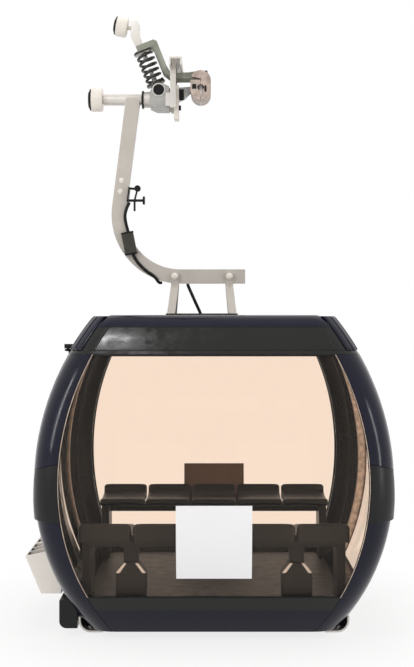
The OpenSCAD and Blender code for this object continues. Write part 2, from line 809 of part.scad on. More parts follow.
// Place of the arm's edge towards the rope, at height z
function arm_edge(z) = arm_x_top + arm_w / 2 / cos(arm_lean) + (axle_drop + z) * tan(arm_lean);

lever_z = -838;          // height of the lever's shaft
lever_end = -420;        // end of the shaft
knob = [-476, -748];     // place of the knob, in the XZ plane

// Lever and roller that the station's rail presses to work the doors
module door_lever() {
    y = cable_y - 2;
    color(black) {
        // Plate on the arm's edge
        translate([arm_edge(lever_z) + fit, -72, lever_z]) rotate([0, arm_lean, 0])
            translate([0, 0, -8]) cube([10, 100, 111]);
        // Shaft with its roller
        translate([arm_edge(lever_z) + 6, y, lever_z]) along_x(lever_end - arm_edge(lever_z) - 6, 20);
        translate([lever_end - 16, y, lever_z]) along_x(16, 62);
        // Stub below the shaft, and the link and arm that carry the knob
        translate([-498, y, lever_z - 80]) cylinder(h = 78, d = 16);
        translate([-498, y, lever_z]) rotate([0, 14, 0]) cylinder(h = 92, d = 14);
        translate([arm_edge(-750) + 4, y - 8, -754]) rotate([0, 6, 0]) cube([72, 16, 16]);
        translate([knob[0], y, knob[1]]) rotate([90, 0, 0]) cylinder(h = 28, d = 48, center = true);
    }
}

// ---------------------------------------------------------------- grip, fixed part

pivot = [0, 104];        // the jaw's pivot, in the XZ plane
pivot_r = 14;
body_y = 125;            // half the grip body's width along the rope
ring_x = -444;           // left end of the grip's hub
seat_pos = [-337, 45];   // foot of the spring
cap_pos = [-439, 300];   // head of the spring
spring_len = norm(cap_pos - seat_pos);
spring_tilt = atan2(seat_pos[0] - cap_pos[0], cap_pos[1] - seat_pos[1]);
stub_d = 38;             // diameter of the guides inside the spring

// Draws along the spring's axis, with the foot at the origin
module at_spring() {
    translate([seat_pos[0], 0, seat_pos[1]]) rotate([0, -spring_tilt, 0]) children();
}

module grip_body() {
    color(cast) difference() {
        union() {
            translate([ring_x, 0, -axle_drop]) along_x(70, 118);
            along_y(2 * body_y) polygon([
                [-382, -30], [-382, -128], [-330, -150], [-240, -150],
                [-236, 10], [-262, 24], [-300, 36], [-352, 12]
            ]);
            // Neck that carries the fixed jaw
            along_y(90) polygon([[-250, -120], [-120, -60], [-jaw_r, jaw_low], [-jaw_r, 22], [-250, 10]]);
            // Post and disc under the spring
            along_y(70) polygon([[-372, 0], [-300, 0], [-300, 64], [-372, 36]]);
            at_spring() difference() {
                union() {
                    cylinder(h = 16, d = spring_d + 8);
                    cylinder(h = 60, d = stub_d);
                }
                translate([-80, -80, -40]) cube([160, 160, 40]);
            }
        }
        translate([ring_x - 1, 0, -axle_drop]) along_x(42, axle_d);
    }
}

wheel_x = [-850, -742];  // faces of the running wheel
wheel_cap = 14;          // thickness of the wheel's closed outer face

module hanger_axle() {
    from = wheel_x[0] + wheel_cap + 1;
    color(steel) translate([from, 0, -axle_drop]) along_x(ring_x + 40 - from, axle_d);
}

web_y = body_y + fit;    // inner face of the friction plate's webs
web_t = 20;

plate_x = [-228, -136];  // edges of the friction plate
plate_z = 186;           // height of its top
plate_t = 14;
plate_lip = 58;          // height of its downward lips, with the plate

// Plate that the stations' tyres press on, its two webs beside the jaw lever
module friction_plate() {
    web_low = -150;
    color(steel) {
        translate([plate_x[0], -plate_l / 2, plate_z - plate_t])
            cube([plate_x[1] - plate_x[0], plate_l, plate_t]);
        for (x = [plate_x[0], plate_x[1] - 12]) translate([x, -plate_l / 2, plate_z - plate_lip])
            cube([12, plate_l, plate_lip]);
        for (s = [-1, 1]) translate([0, s > 0 ? web_y : -web_y - web_t, 0]) {
            translate([plate_x[0], 0, web_low]) cube([44, web_t, plate_z - plate_t / 2 - web_low]);
            // Foot that bolts the web to the body
            translate([-262, 0, web_low + 10]) cube([40, web_t, 100]);
        }
    }
}

jaw_r = 76;              // radius of the jaws' rounded ends, seen along the rope
jaw_low = -15;           // centres of those ends
jaw_high = 53;
lug_y = 74;              // half the width of the pivot's lug

// Outline of the closed jaws: a rounded bar
module jaw_outline() {
    for (z = [jaw_low, jaw_high]) translate([0, z]) circle(jaw_r);
    translate([-jaw_r, jaw_low]) square([2 * jaw_r, jaw_high - jaw_low]);
}

module fixed_jaw() {
    color(cast) {
        difference() {
            union() {
                along_y(jaw_len) intersection() {
                    jaw_outline();
                    translate([-jaw_r, -jaw_r + jaw_low]) square([jaw_r - 1, jaw_r - jaw_low + 56]);
                }
                // Lug for the pivot
                along_y(2 * lug_y) {
                    polygon([
                        [-jaw_r, 40], [-1, 40], [-1, 60], [16, 66],
                        [30, 90], [30, 104], [-30, 104], [-jaw_r, 53]
                    ]);
                    translate(pivot) circle(30);
                }
            }
            rotate([90, 0, 0]) cylinder(h = jaw_len + 2, d = rope_d, center = true);
        }
        // Pin that the lever turns on
        translate([pivot[0], 0, pivot[1]]) rotate([90, 0, 0])
            cylinder(h = 2 * (cheek_y + cheek_t + 6), r = pivot_r, center = true);
    }
}

module grip_guides() {
    color(nylon) for (s = [-1, 1]) translate([-202, s > 0 ? 46 : -61, -225])
        cube([36, 15, 258]);
}

module grip_spring() {
    per_turn = 12;
    low = 17;
    high = spring_len - 21;
    r = (spring_d - spring_wire) / 2;
    n = spring_turns * per_turn;
    color(black) at_spring() tube([for (i = [0:n])
        let (a = 360 * i / per_turn, t = i / n)
        [r * cos(a), r * sin(a), mix(low + spring_wire / 2, high - spring_wire / 2, t)]], spring_wire);
}

// ---------------------------------------------------------------- jaw lever and rollers

cheek_y = 78;            // inner face of the lever's cheeks
cheek_t = 20;
arm_line = [80, 122];    // edges of the cheeks' arms, measured from the spring's axis
roller_pos = [-600, 486];
roller_tilt = 11;        // how much the roller's axis rises towards its closed end
roller_w = 90;
roller_cap = 12;
roller_axle_d = 30;

// One cheek of the lever: from the pivot to the spring, up beside it, and over its head
module cheek_outline() {
    difference() {
        union() {
            polygon([
                [0, 134], [-90, 120], [-222, 116], [-255, 169], [-285, 130], [-235, 92], [-200, 78],
                [-60, 80], [0, 74], [30, 66], [62, 40], [72, 56], [64, 96], [34, 128]
            ]);
            translate(seat_pos) rotate(spring_tilt) polygon([
                [arm_line[0], 55], [arm_line[0], spring_len - 12], [-40, spring_len - 12],
                [-40, spring_len + 32], [arm_line[1] - 20, spring_len + 32],
                [arm_line[1], spring_len + 12], [arm_line[1], 84]
            ]);
            translate(pivot) circle(30);
        }
        translate(pivot) circle(pivot_r + run_gap);
    }
}

module lever_cheeks() {
    mid = cheek_y + cheek_t / 2;
    color(cast) for (y = [-mid, mid]) translate([0, y, 0]) along_y(cheek_t) cheek_outline();
}

// The jaw on the far side of the rope. Its two ends, outside the cheeks, close over the top.
module moving_jaw() {
    cap_y = cheek_y + cheek_t + fit;
    color(cast) difference() {
        union() {
            // Between the cheeks and through to both ends
            along_y(jaw_len) intersection() {
                jaw_outline();
                translate([2, -jaw_r + jaw_low]) square([jaw_r, jaw_r - jaw_low + 30]);
            }
            end_y = (cap_y + jaw_len / 2) / 2;
            for (y = [-end_y, end_y]) translate([0, y, 0]) along_y(jaw_len / 2 - cap_y)
                intersection() {
                    jaw_outline();
                    polygon([[2, 20], [jaw_r, 20], [jaw_r, 140], [-jaw_r, 140], [-jaw_r, 86], [2, 64]]);
                }
        }
        rotate([90, 0, 0]) cylinder(h = jaw_len + 2, d = rope_d, center = true);
        // Room for the ends of the pivot's pin
        translate([pivot[0], 0, pivot[1]]) rotate([90, 0, 0])
            cylinder(h = 2 * (cheek_y + cheek_t + 7), r = pivot_r + 1, center = true);
    }
}

// Cap on the spring, with its guide, the bar that joins the cheeks and the roller's fork
module lever_head() {
    cap_t = 20;
    bar = [60, 26];
    color(cast) {
        at_spring() {
            translate([0, 0, spring_len - cap_t]) cylinder(h = cap_t, d = spring_d + 10);
            translate([0, 0, spring_len - 80]) cylinder(h = 70, d = stub_d);
            translate([-bar[0] / 2, -cheek_y + fit, spring_len - 1])
                cube([bar[0], 2 * (cheek_y - fit), bar[1]]);
        }
        along_y(70) polygon([
            [-476, 300], [-424, 320], [-462, 410], [-464, 492], [-482, 526], [-526, 516], [-530, 410]
        ]);
        at_roller() translate([0, 0, -roller_w / 2 + 1]) cylinder(h = roller_w / 2 + 90, d = roller_axle_d);
    }
}

// Draws along the coupling roller's axle, with the roller's middle at the origin
module at_roller() {
    translate([roller_pos[0], 0, roller_pos[1]]) rotate([0, 90 + roller_tilt, 0]) children();
}

module coupling_roller() {
    color(nylon) at_roller() difference() {
        union() {
            cylinder(h = roller_w, d = roller_d, center = true);
            translate([0, 0, -roller_w / 2 - roller_cap]) cylinder(h = roller_cap + 1, d = roller_d - 34);
        }
        translate([0, 0, -roller_w / 2]) cylinder(h = roller_w + 1, d = roller_axle_d + 2 * run_gap);
    }
}

module running_wheel() {
    color(nylon) translate([wheel_x[0], 0, -axle_drop]) difference() {
        union() {
            translate([wheel_cap, 0, 0]) along_x(wheel_x[1] - wheel_x[0] - wheel_cap, wheel_d);
            along_x(wheel_cap + 1, wheel_d - 24);
        }
        translate([wheel_cap, 0, 0]) along_x(wheel_x[1] - wheel_x[0], axle_d + 2 * run_gap);
    }
}

// ---------------------------------------------------------------- the nodes

grip_body();
hanger_axle();
friction_plate();
fixed_jaw();
grip_guides();
grip_spring();
moving_jaw();
lever_cheeks();
lever_head();
coupling_roller();
running_wheel();
hanger_arm();
hanger_legs();
roof_mounts();
door_cable();
cable_sleeve();
door_lever();
roof_shell();
ceiling_panel();
end_fascias();
roof_rails();
door_arm_brackets();
header_frame();
upper_corner_posts();
corner_bumpers();
lower_corner_posts();
front_window();
rear_window();
right_windows();
left_windows();
side_pillars();
front_skirt();
rear_skirt();
side_skirts();
floor();
guide_rails();
door_sill();
front_seats();
rear_seats();
front_bench_frame();
rear_bench_frame();
front_side() door_leaf();  // front_door
front_side() door_pane();  // front_door_glass
front_side() door_rack();  // front_ski_rack
front_side() lower_arm();  // front_lower_arm
front_side() upper_arm();  // front_upper_arm
rear_side() door_leaf();  // rear_door
rear_side() door_pane();  // rear_door_glass
rear_side() door_rack();  // rear_ski_rack
rear_side() lower_arm();  // rear_lower_arm
rear_side() upper_arm();  // rear_upper_arm
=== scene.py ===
"""Looks of a gondola cabin with its hanger and rope grip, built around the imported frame.

Everything is in metres in the CAD's frame: X across the cabin with the doors at -X, Y along the rope,
Z up, and the origin at the centre of the rope in the grip.
"""

import json
import math

import bmesh
import bpy
from mathutils import Matrix, Vector


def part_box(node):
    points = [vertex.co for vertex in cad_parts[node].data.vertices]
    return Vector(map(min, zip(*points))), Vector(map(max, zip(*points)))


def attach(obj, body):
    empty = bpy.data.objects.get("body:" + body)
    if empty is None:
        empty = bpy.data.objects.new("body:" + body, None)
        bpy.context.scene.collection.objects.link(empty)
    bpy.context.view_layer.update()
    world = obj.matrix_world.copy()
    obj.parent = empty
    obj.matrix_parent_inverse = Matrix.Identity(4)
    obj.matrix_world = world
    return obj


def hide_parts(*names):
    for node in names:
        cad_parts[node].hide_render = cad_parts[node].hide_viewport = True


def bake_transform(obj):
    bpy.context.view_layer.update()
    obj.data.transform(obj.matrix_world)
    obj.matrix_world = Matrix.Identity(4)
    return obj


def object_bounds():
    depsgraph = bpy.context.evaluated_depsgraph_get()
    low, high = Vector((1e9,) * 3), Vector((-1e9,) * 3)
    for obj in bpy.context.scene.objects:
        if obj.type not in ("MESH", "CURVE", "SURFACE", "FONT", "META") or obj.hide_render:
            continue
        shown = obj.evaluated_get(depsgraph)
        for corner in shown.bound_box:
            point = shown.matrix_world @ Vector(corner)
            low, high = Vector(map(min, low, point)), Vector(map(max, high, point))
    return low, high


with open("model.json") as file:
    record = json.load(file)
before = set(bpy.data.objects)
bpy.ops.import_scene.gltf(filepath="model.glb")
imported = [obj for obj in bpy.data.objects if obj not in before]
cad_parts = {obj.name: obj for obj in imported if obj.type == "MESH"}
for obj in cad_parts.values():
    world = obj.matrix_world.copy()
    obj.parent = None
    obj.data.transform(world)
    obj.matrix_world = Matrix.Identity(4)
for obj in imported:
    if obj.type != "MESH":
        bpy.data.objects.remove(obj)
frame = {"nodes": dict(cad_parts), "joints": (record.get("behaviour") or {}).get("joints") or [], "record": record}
CAD_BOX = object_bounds()

# ---------------------------------------------------------------- the frame's places

CABIN_X = sum(c.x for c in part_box("header_frame")) / 2
BASE_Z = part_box("lower_corner_posts")[0].z
ROOF_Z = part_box("roof_shell")[1].z
SILL_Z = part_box("front_window")[0].z - BASE_Z
HEADER_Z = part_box("header_frame")[0].z - BASE_Z
CAP_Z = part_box("header_frame")[1].z - BASE_Z
HALF_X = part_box("right_windows")[1].x - CABIN_X
HALF_Y = -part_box("front_window")[0].y
WIDEST = 1.057          # height of the widest line above the underside
BULGE_UP = 1.890        # radius of the walls above that line
BULGE_LOW = 1.795       # and below it
CORNER_R = 0.175        # radius of the upright corners
WALL_T = 0.06           # thickness of the walls
BODY_OF = {node: body for body, nodes in frame["record"]["behaviour"]["bodies"].items() for node in nodes}
SLOT_OF = {part["node"]: part["material_slot"] for part in frame["record"]["subparts"]}


def drop(height):
    """How far the wall has come in at a height above the underside."""
    rise = height - WIDEST
    radius = BULGE_UP if rise > 0 else BULGE_LOW
    return radius - math.sqrt(radius * radius - rise * rise)


def half_x(height):
    return HALF_X - drop(height)


def half_y(height):
    return HALF_Y - drop(height)


def flat_x(height):
    return half_x(height) - CORNER_R


def flat_y(height):
    return half_y(height) - CORNER_R


def mix(a, b, t):
    return a + (b - a) * t


def joint(name):
    return next(j for j in frame["joints"] if j["name"] == name)


# ---------------------------------------------------------------- camera, light and floor

LENS = 64.8             # mm, on a 36 mm sensor
EYE_BACK = 9.10         # distance of the camera from the rope's plane
SHIFT = (-0.0105, -0.0277)


def make_camera():
    data = bpy.data.cameras.new("camera")
    data.lens = LENS
    data.sensor_width = 36
    data.shift_x, data.shift_y = SHIFT
    data.clip_end = 200
    camera = bpy.data.objects.new("camera", data)
    camera.location = (CABIN_X, -EYE_BACK, ROOF_Z)
    camera.rotation_euler = (math.pi / 2, 0, 0)
    bpy.context.collection.objects.link(camera)
    bpy.context.scene.camera = camera


def area_light(name, place, aim, size, power, mirrored=True):
    data = bpy.data.lights.new(name, "AREA")
    data.shape = "RECTANGLE"
    data.size, data.size_y = size
    data.energy = power
    lamp = bpy.data.objects.new(name, data)
    lamp.location = place
    lamp.rotation_euler = (Vector(aim) - Vector(place)).to_track_quat("-Z", "Y").to_euler()
    lamp.visible_camera = False
    lamp.visible_transmission = False
    lamp.visible_glossy = mirrored
    bpy.context.collection.objects.link(lamp)
    return lamp


def seen_share(tree):
    """1 for a ray that shows the background itself: from the camera, a mirror or through glass."""
    path = tree.nodes.new("ShaderNodeLightPath")
    total = None
    for name in ("Is Camera Ray", "Is Glossy Ray", "Is Transmission Ray"):
        if total is None:
            total = path.outputs[name]
            continue
        join = tree.nodes.new("ShaderNodeMath")
        join.operation = "MAXIMUM"
        tree.links.new(total, join.inputs[0])
        tree.links.new(path.outputs[name], join.inputs[1])
        total = join.outputs[0]
    return total


def mix_shaders(tree, share, first, second, output):
    """Links two shaders, mixed by a share, to the tree's output."""
    mixed = tree.nodes.new("ShaderNodeMixShader")
    out = tree.nodes.new(output)
    tree.links.new(share, mixed.inputs[0])
    tree.links.new(first.outputs[0], mixed.inputs[1])
    tree.links.new(second.outputs[0], mixed.inputs[2])
    tree.links.new(mixed.outputs[0], out.inputs[0])


def make_world():
    """White where it is seen, and a softer light on the object."""
    world = bpy.data.worlds.new("studio")
    bpy.context.scene.world = world
    world.use_nodes = True
    tree = world.node_tree
    tree.nodes.clear()
    seen = tree.nodes.new("ShaderNodeBackground")
    seen.inputs["Color"].default_value = (1, 1, 1, 1)
    seen.inputs["Strength"].default_value = 1.0
    soft = tree.nodes.new("ShaderNodeBackground")
    soft.inputs["Color"].default_value = (1.0, 0.99, 0.98, 1)
    soft.inputs["Strength"].default_value = 0.55
    mix_shaders(tree, seen_share(tree), soft, seen, "ShaderNodeOutputWorld")


FLOOR_SIZE = 60         # half the side of the floor
FLOOR_GAP = 0.03        # distance from the cabin's underside to the floor


def make_floor():
    """A pale floor just below the cabin, which turns to plain white away from it."""
    low = CAD_BOX[0].z - FLOOR_GAP
    size = FLOOR_SIZE
    mesh = bpy.data.meshes.new("floor_sheet")
    corners = [(-size, -size, low), (size, -size, low), (size, size, low), (-size, size, low)]
    mesh.from_pydata(corners, [], [(0, 1, 2, 3)])
    floor = bpy.data.objects.new("floor_sheet", mesh)
    bpy.context.collection.objects.link(floor)
    material = bpy.data.materials.new("floor_sheet")
    material.use_nodes = True
    tree = material.node_tree
    tree.nodes.clear()
    matt = tree.nodes.new("ShaderNodeBsdfDiffuse")
    matt.inputs["Color"].default_value = (0.94, 0.93, 0.92, 1)
    glow = tree.nodes.new("ShaderNodeEmission")
    glow.inputs["Strength"].default_value = 1.0
    place = tree.nodes.new("ShaderNodeTexCoord")
    away = tree.nodes.new("ShaderNodeVectorMath")
    away.operation = "DISTANCE"
    away.inputs[1].default_value = (CABIN_X, 0, low)
    tree.links.new(place.outputs["Object"], away.inputs[0])
    fade = tree.nodes.new("ShaderNodeMapRange")
    fade.interpolation_type = "SMOOTHSTEP"
    fade.inputs["From Min"].default_value = 1.0
    fade.inputs["From Max"].default_value = 2.6
    fade.inputs["To Min"].default_value = 0.80
    tree.links.new(away.outputs["Value"], fade.inputs["Value"])
    both = tree.nodes.new("ShaderNodeMath")
    both.operation = "MULTIPLY"
    tree.links.new(fade.outputs["Result"], both.inputs[0])
    tree.links.new(seen_share(tree), both.inputs[1])
    mix_shaders(tree, both.outputs[0], matt, glow, "ShaderNodeOutputMaterial")
    mesh.materials.append(material)


def make_lights():
    centre = (CABIN_X, 0, BASE_Z + 1.2)
    area_light("key_left", (-4.6, -4.4, 0.4), centre, (0.55, 4.2), 110)
    area_light("fill_right", (5.0, -3.6, -1.4), centre, (0.5, 3.6), 60)
    gleam = area_light("gleam", (-1.05, -2.9, 1.65), (-0.65, -1.0, -1.85), (0.6, 0.35), 16)
    gleam.visible_diffuse = False
    area_light("front_low", (0.4, -7.0, -3.0), centre, (3.4, 1.6), 40, mirrored=False)
    area_light("top", (0.2, 0.2, 3.6), (CABIN_X, 0, -2), (4.0, 4.0), 130, mirrored=False)
    area_light("back", (0.2, 6.0, -0.8), centre, (4.0, 3.0), 60, mirrored=False)
    bpy.context.scene.view_settings.view_transform = "Standard"


# ---------------------------------------------------------------- materials

def srgb(red, green, blue):
    """A colour of 0 to 255 a channel, as the linear one that shaders take."""
    def linear(c):
        c /= 255
        return c / 12.92 if c <= 0.04045 else ((c + 0.055) / 1.055) ** 2.4
    return (linear(red), linear(green), linear(blue), 1)


def shade(colour, factor):
    return tuple(min(1, c * factor) for c in colour[:3]) + (1,)


def noise(tree, scale, detail=3.0, stretch=(1, 1, 1)):
    place = tree.nodes.new("ShaderNodeTexCoord")
    turn = tree.nodes.new("ShaderNodeMapping")
    turn.inputs["Scale"].default_value = stretch
    texture = tree.nodes.new("ShaderNodeTexNoise")
    texture.inputs["Scale"].default_value = scale
    texture.inputs["Detail"].default_value = detail
    tree.links.new(place.outputs["Object"], turn.inputs["Vector"])
    tree.links.new(turn.outputs["Vector"], texture.inputs["Vector"])
    return texture.outputs["Fac"]


def ramp(tree, value, low, high, stops=(0.35, 0.65)):
    node = tree.nodes.new("ShaderNodeValToRGB")
    node.color_ramp.elements[0].position = stops[0]
    node.color_ramp.elements[0].color = low
    node.color_ramp.elements[1].position = stops[1]
    node.color_ramp.elements[1].color = high
    tree.links.new(value, node.inputs["Fac"])
    return node.outputs["Color"]


def grey(value):
    return (value, value, value, 1)


def surface(name, colour, rough, metal=0.0, coat=0.0, tone=0.10, cloud=2.5, rough_span=0.06,
            grain=0.0, grain_scale=500, stretch=(1, 1, 1), wear=0.0, specular=0.5):
    """A painted, moulded or metal surface: clouded colour and gloss, a fine grain and worn edges."""
    material = bpy.data.materials.new(name)
    material.use_nodes = True
    tree = material.node_tree
    shader = tree.nodes["Principled BSDF"]
    shader.inputs["Metallic"].default_value = metal
    shader.inputs["Coat Weight"].default_value = coat
    shader.inputs["Coat Roughness"].default_value = 0.05
    shader.inputs["Specular IOR Level"].default_value = specular
    tint = ramp(tree, noise(tree, cloud, 4), shade(colour, 1 - tone), shade(colour, 1 + tone))
    if wear:
        edges = tree.nodes.new("ShaderNodeNewGeometry")
        worn = ramp(tree, edges.outputs["Pointiness"], grey(0), grey(wear), (0.52, 0.60))
        blend = tree.nodes.new("ShaderNodeMix")
        blend.data_type = "RGBA"
        tree.links.new(worn, blend.inputs["Factor"])
        tree.links.new(tint, blend.inputs["A"])
        blend.inputs["B"].default_value = shade(colour, 2.2)
        tint = blend.outputs["Result"]
    tree.links.new(tint, shader.inputs["Base Color"])
    gloss = ramp(tree, noise(tree, cloud * 6, 5, stretch), grey(rough - rough_span), grey(rough + rough_span))
    tree.links.new(gloss, shader.inputs["Roughness"])
    if grain:
        bump = tree.nodes.new("ShaderNodeBump")
        bump.inputs["Strength"].default_value = grain
        bump.inputs["Distance"].default_value = 0.001
        tree.links.new(noise(tree, grain_scale, 2, stretch), bump.inputs["Height"])
        tree.links.new(bump.outputs["Normal"], shader.inputs["Normal"])
    return material


def glass(name, tint, mirror=0.05):
    """A thin pane: it passes tinted light and mirrors more towards a grazing view."""
    material = bpy.data.materials.new(name)
    material.use_nodes = True
    tree = material.node_tree
    tree.nodes.clear()
    clear = tree.nodes.new("ShaderNodeBsdfTransparent")
    clear.inputs["Color"].default_value = tint
    gloss = tree.nodes.new("ShaderNodeBsdfGlossy")
    gloss.inputs["Roughness"].default_value = 0.03
    gloss.inputs["Color"].default_value = (0.9, 0.88, 0.86, 1)
    facing = tree.nodes.new("ShaderNodeLayerWeight")
    facing.inputs["Blend"].default_value = 0.25
    share = tree.nodes.new("ShaderNodeMapRange")
    share.inputs["To Min"].default_value = mirror
    share.inputs["To Max"].default_value = 0.75
    power = tree.nodes.new("ShaderNodeMath")
    power.operation = "POWER"
    power.inputs[1].default_value = 3.0
    tree.links.new(facing.outputs["Facing"], power.inputs[0])
    tree.links.new(power.outputs[0], share.inputs["Value"])
    mix_shaders(tree, share.outputs["Result"], clear, gloss, "ShaderNodeOutputMaterial")
    return material


NAVY = surface("navy_paint", srgb(15, 15, 34),
               0.17, tone=0.12, rough_span=0.05, grain=0.02, grain_scale=60, specular=0.26)
BLACK_GLOSS = surface("black_gloss", srgb(20, 20, 18),
                      0.17, tone=0.10, rough_span=0.08, grain=0.04, grain_scale=60, specular=0.34)
BLACK_TRIM = surface("black_trim", srgb(22, 20, 19), 0.42, tone=0.12, specular=0.2)
BUMPER = surface("bumper", srgb(19, 19, 21), 0.34, tone=0.10, grain=0.08, grain_scale=400, specular=0.28)
RUBBER = surface("rubber", srgb(18, 17, 17), 0.55, tone=0.15, grain=0.3, grain_scale=400, specular=0.2)
SEAT = surface("seat_plastic", srgb(24, 22, 21), 0.36, tone=0.10, grain=0.1, grain_scale=400, specular=0.35)
FLOOR = surface("floor_rubber", srgb(34, 31, 29),
                0.45, tone=0.14, grain=0.2, grain_scale=250, specular=0.25)
FRAME_GREY = surface("frame_grey", srgb(27, 25, 24),
                     0.40, tone=0.10, grain=0.1, grain_scale=300, wear=0.2, specular=0.3)
CEILING = surface("ceiling", srgb(190, 184, 176), 0.6, tone=0.05, grain=0.2, grain_scale=300)
HANGER = surface("hanger_paint", srgb(196, 189, 180), 0.36, tone=0.04, cloud=5, grain=0.15, grain_scale=350)
STEEL = surface("bright_steel", srgb(196, 192, 187),
                0.32, metal=0.85, tone=0.08, cloud=9, grain=0.2, grain_scale=260, stretch=(1, 6, 1))
PALE_STEEL = surface("pale_steel", srgb(214, 209, 202),
                     0.38, metal=0.25, tone=0.05, cloud=8, grain=0.15, grain_scale=400, wear=0.3)
CAST = surface("cast_steel", srgb(150, 149, 145),
               0.40, metal=0.55, tone=0.16, cloud=14, grain=0.6, grain_scale=320, wear=0.5)
JAW = surface("jaw_steel", srgb(172, 156, 146),
              0.44, metal=0.30, tone=0.28, cloud=22, grain=0.7, grain_scale=260, wear=0.6)
LEVER = surface("lever_paint", srgb(122, 123, 112),
                0.36, metal=0.2, tone=0.14, cloud=12, grain=0.3, grain_scale=350, wear=0.5)
SPRING = surface("spring_steel", srgb(38, 38, 33),
                 0.30, metal=0.2, tone=0.14, cloud=16, grain=0.15, grain_scale=400, wear=0.4)
NYLON = surface("white_nylon", srgb(236, 229, 219), 0.42, tone=0.03, cloud=12, grain=0.1, grain_scale=300)
RACK = surface("rack_metal", srgb(242, 236, 229),
               0.34, metal=0.15, tone=0.03, cloud=6, grain=0.1, grain_scale=300)
DECAL = surface("blank_sticker", srgb(244, 244, 246), 0.35, tone=0.003, cloud=4, rough_span=0.01)
# dark brown-grey for the stickers' backs: painted shade, as the back of a white sticker faces away from the light
DECAL_BACK_SHADE = surface("sticker_back_painted_shade", srgb(92, 74, 62), 0.6, tone=0.05, cloud=8)
SLEEVE_GREY = surface("sleeve_grey", srgb(58, 57, 50), 0.42, tone=0.15, cloud=14, specular=0.3)
# pale peach that paints highlights and reflections: strips on the end windows' edges and the side pillars' inner
# faces
PAINTED_HIGHLIGHT = surface("painted_highlight_pale", srgb(206, 186, 170), 0.25, tone=0.25, cloud=30, specular=0.5)
PANE = glass("tinted_glass", (0.987, 0.930, 0.880, 1), 0.010)

FINISH = {
    "cast_steel": CAST, "bright_steel": STEEL, "pale_steel": PALE_STEEL, "jaw_steel": JAW,
    "white_nylon": NYLON, "spring_steel": SPRING, "lever_paint": LEVER, "hanger_paint": HANGER,
    "dark_metal": FRAME_GREY, "black_metal": BLACK_TRIM, "black_rubber": RUBBER, "navy_paint": NAVY,
    "gloss_black": BLACK_GLOSS, "bumper_plastic": BUMPER, "ceiling": CEILING, "tinted_glass": PANE,
    "floor_rubber": FLOOR, "seat_plastic": SEAT, "rack_metal": RACK,
}

# ---------------------------------------------------------------- building meshes
# A shape is a pair of lists: its points and its faces.

def merged(*shapes):
    points, faces = [], []
    for more, sides in shapes:
        start = len(points)
        points += more
        faces += [tuple(start + i for i in side) for side in sides]
    return points, faces


def moved(shape, matrix):
    return [matrix @ Vector(p) for p in shape[0]], shape[1]


def brick(low, high):
    points = [Vector((x, y, z))
              for z in (low[2], high[2]) for y in (low[1], high[1]) for x in (low[0], high[0])]
    return points, [(0, 2, 3, 1), (4, 5, 7, 6), (0, 1, 5, 4), (2, 6, 7, 3), (0, 4, 6, 2), (1, 3, 7, 5)]


def towards(place, direction):
    """The matrix that puts a shape built along +Z at place, along direction."""
    return Matrix.Translation(place) @ Vector(direction).to_track_quat("Z", "Y").to_matrix().to_4x4()


def circle(radius, height, sides):
    """The points of a circle round Z."""
    angles = [math.tau * k / sides for k in range(sides)]
    return [Vector((radius * math.cos(a), radius * math.sin(a), height)) for a in angles]


def lathe(profile, sides=48):
    """A body turned round Z from (radius, height) pairs that start and end on the axis."""
    points, faces, rings = [], [], []
    for radius, height in profile:
        if radius < 1e-6:
            rings.append([len(points)] * sides)
            points.append(Vector((0, 0, height)))
            continue
        rings.append([len(points) + k for k in range(sides)])
        points += circle(radius, height, sides)
    for low, high in zip(rings, rings[1:]):
        for k in range(sides):
            n = (k + 1) % sides
            side = []
            for i in (low[k], low[n], high[n], high[k]):
                if i not in side:
                    side.append(i)
            if len(side) > 2:
                faces.append(tuple(side))
    return points, faces


def disc(radius, low, high, edge=0.002, sides=48):
    """A short round bar along Z with eased edges."""
    profile = [(0, low), (radius - edge, low), (radius, low + edge)]
    profile += [(radius, high - edge), (radius - edge, high), (0, high)]
    return lathe(profile, sides)


def sweep(route, radius, sides=12, closed=False):
    """A round tube through the points of a route."""
    count = len(route)
    route = [Vector(p) for p in route]
    tangents = []
    for i in range(count):
        before = route[i - 1] if closed or i else route[i]
        after = route[(i + 1) % count] if closed or i < count - 1 else route[i]
        tangents.append((after - before).normalized())
    start = Vector((0, 1, 0)) if abs(tangents[0].y) < 0.9 else Vector((1, 0, 0))
    normal = (start - tangents[0] * start.dot(tangents[0])).normalized()
    points, faces = [], []
    for i, tangent in enumerate(tangents):
        normal = (normal - tangent * normal.dot(tangent)).normalized()
        across = tangent.cross(normal)
        for k in range(sides):
            angle = math.tau * k / sides
            points.append(route[i] + radius * (math.cos(angle) * normal + math.sin(angle) * across))
    for i in range(count if closed else count - 1):
        for k in range(sides):
            n = (k + 1) % sides
            j = (i + 1) % count
            faces.append((i * sides + k, i * sides + n, j * sides + n, j * sides + k))
    if not closed:
        faces.append(tuple(reversed(range(sides))))
        faces.append(tuple((count - 1) * sides + k for k in range(sides)))
    return points, faces


def prism(outline, low, high, axis="Y"):
    """An outline in the XZ plane drawn along Y, or one in the YZ plane drawn along X."""
    def point(a, b, along):
        return Vector((a, along, b)) if axis == "Y" else Vector((along, a, b))
    n = len(outline)
    points = [point(a, b, low) for a, b in outline] + [point(a, b, high) for a, b in outline]
    faces = [tuple(range(n)), tuple(reversed(range(n, 2 * n)))]
    faces += [(i, n + i, n + (i + 1) % n, (i + 1) % n) for i in range(n)]
    return points, faces


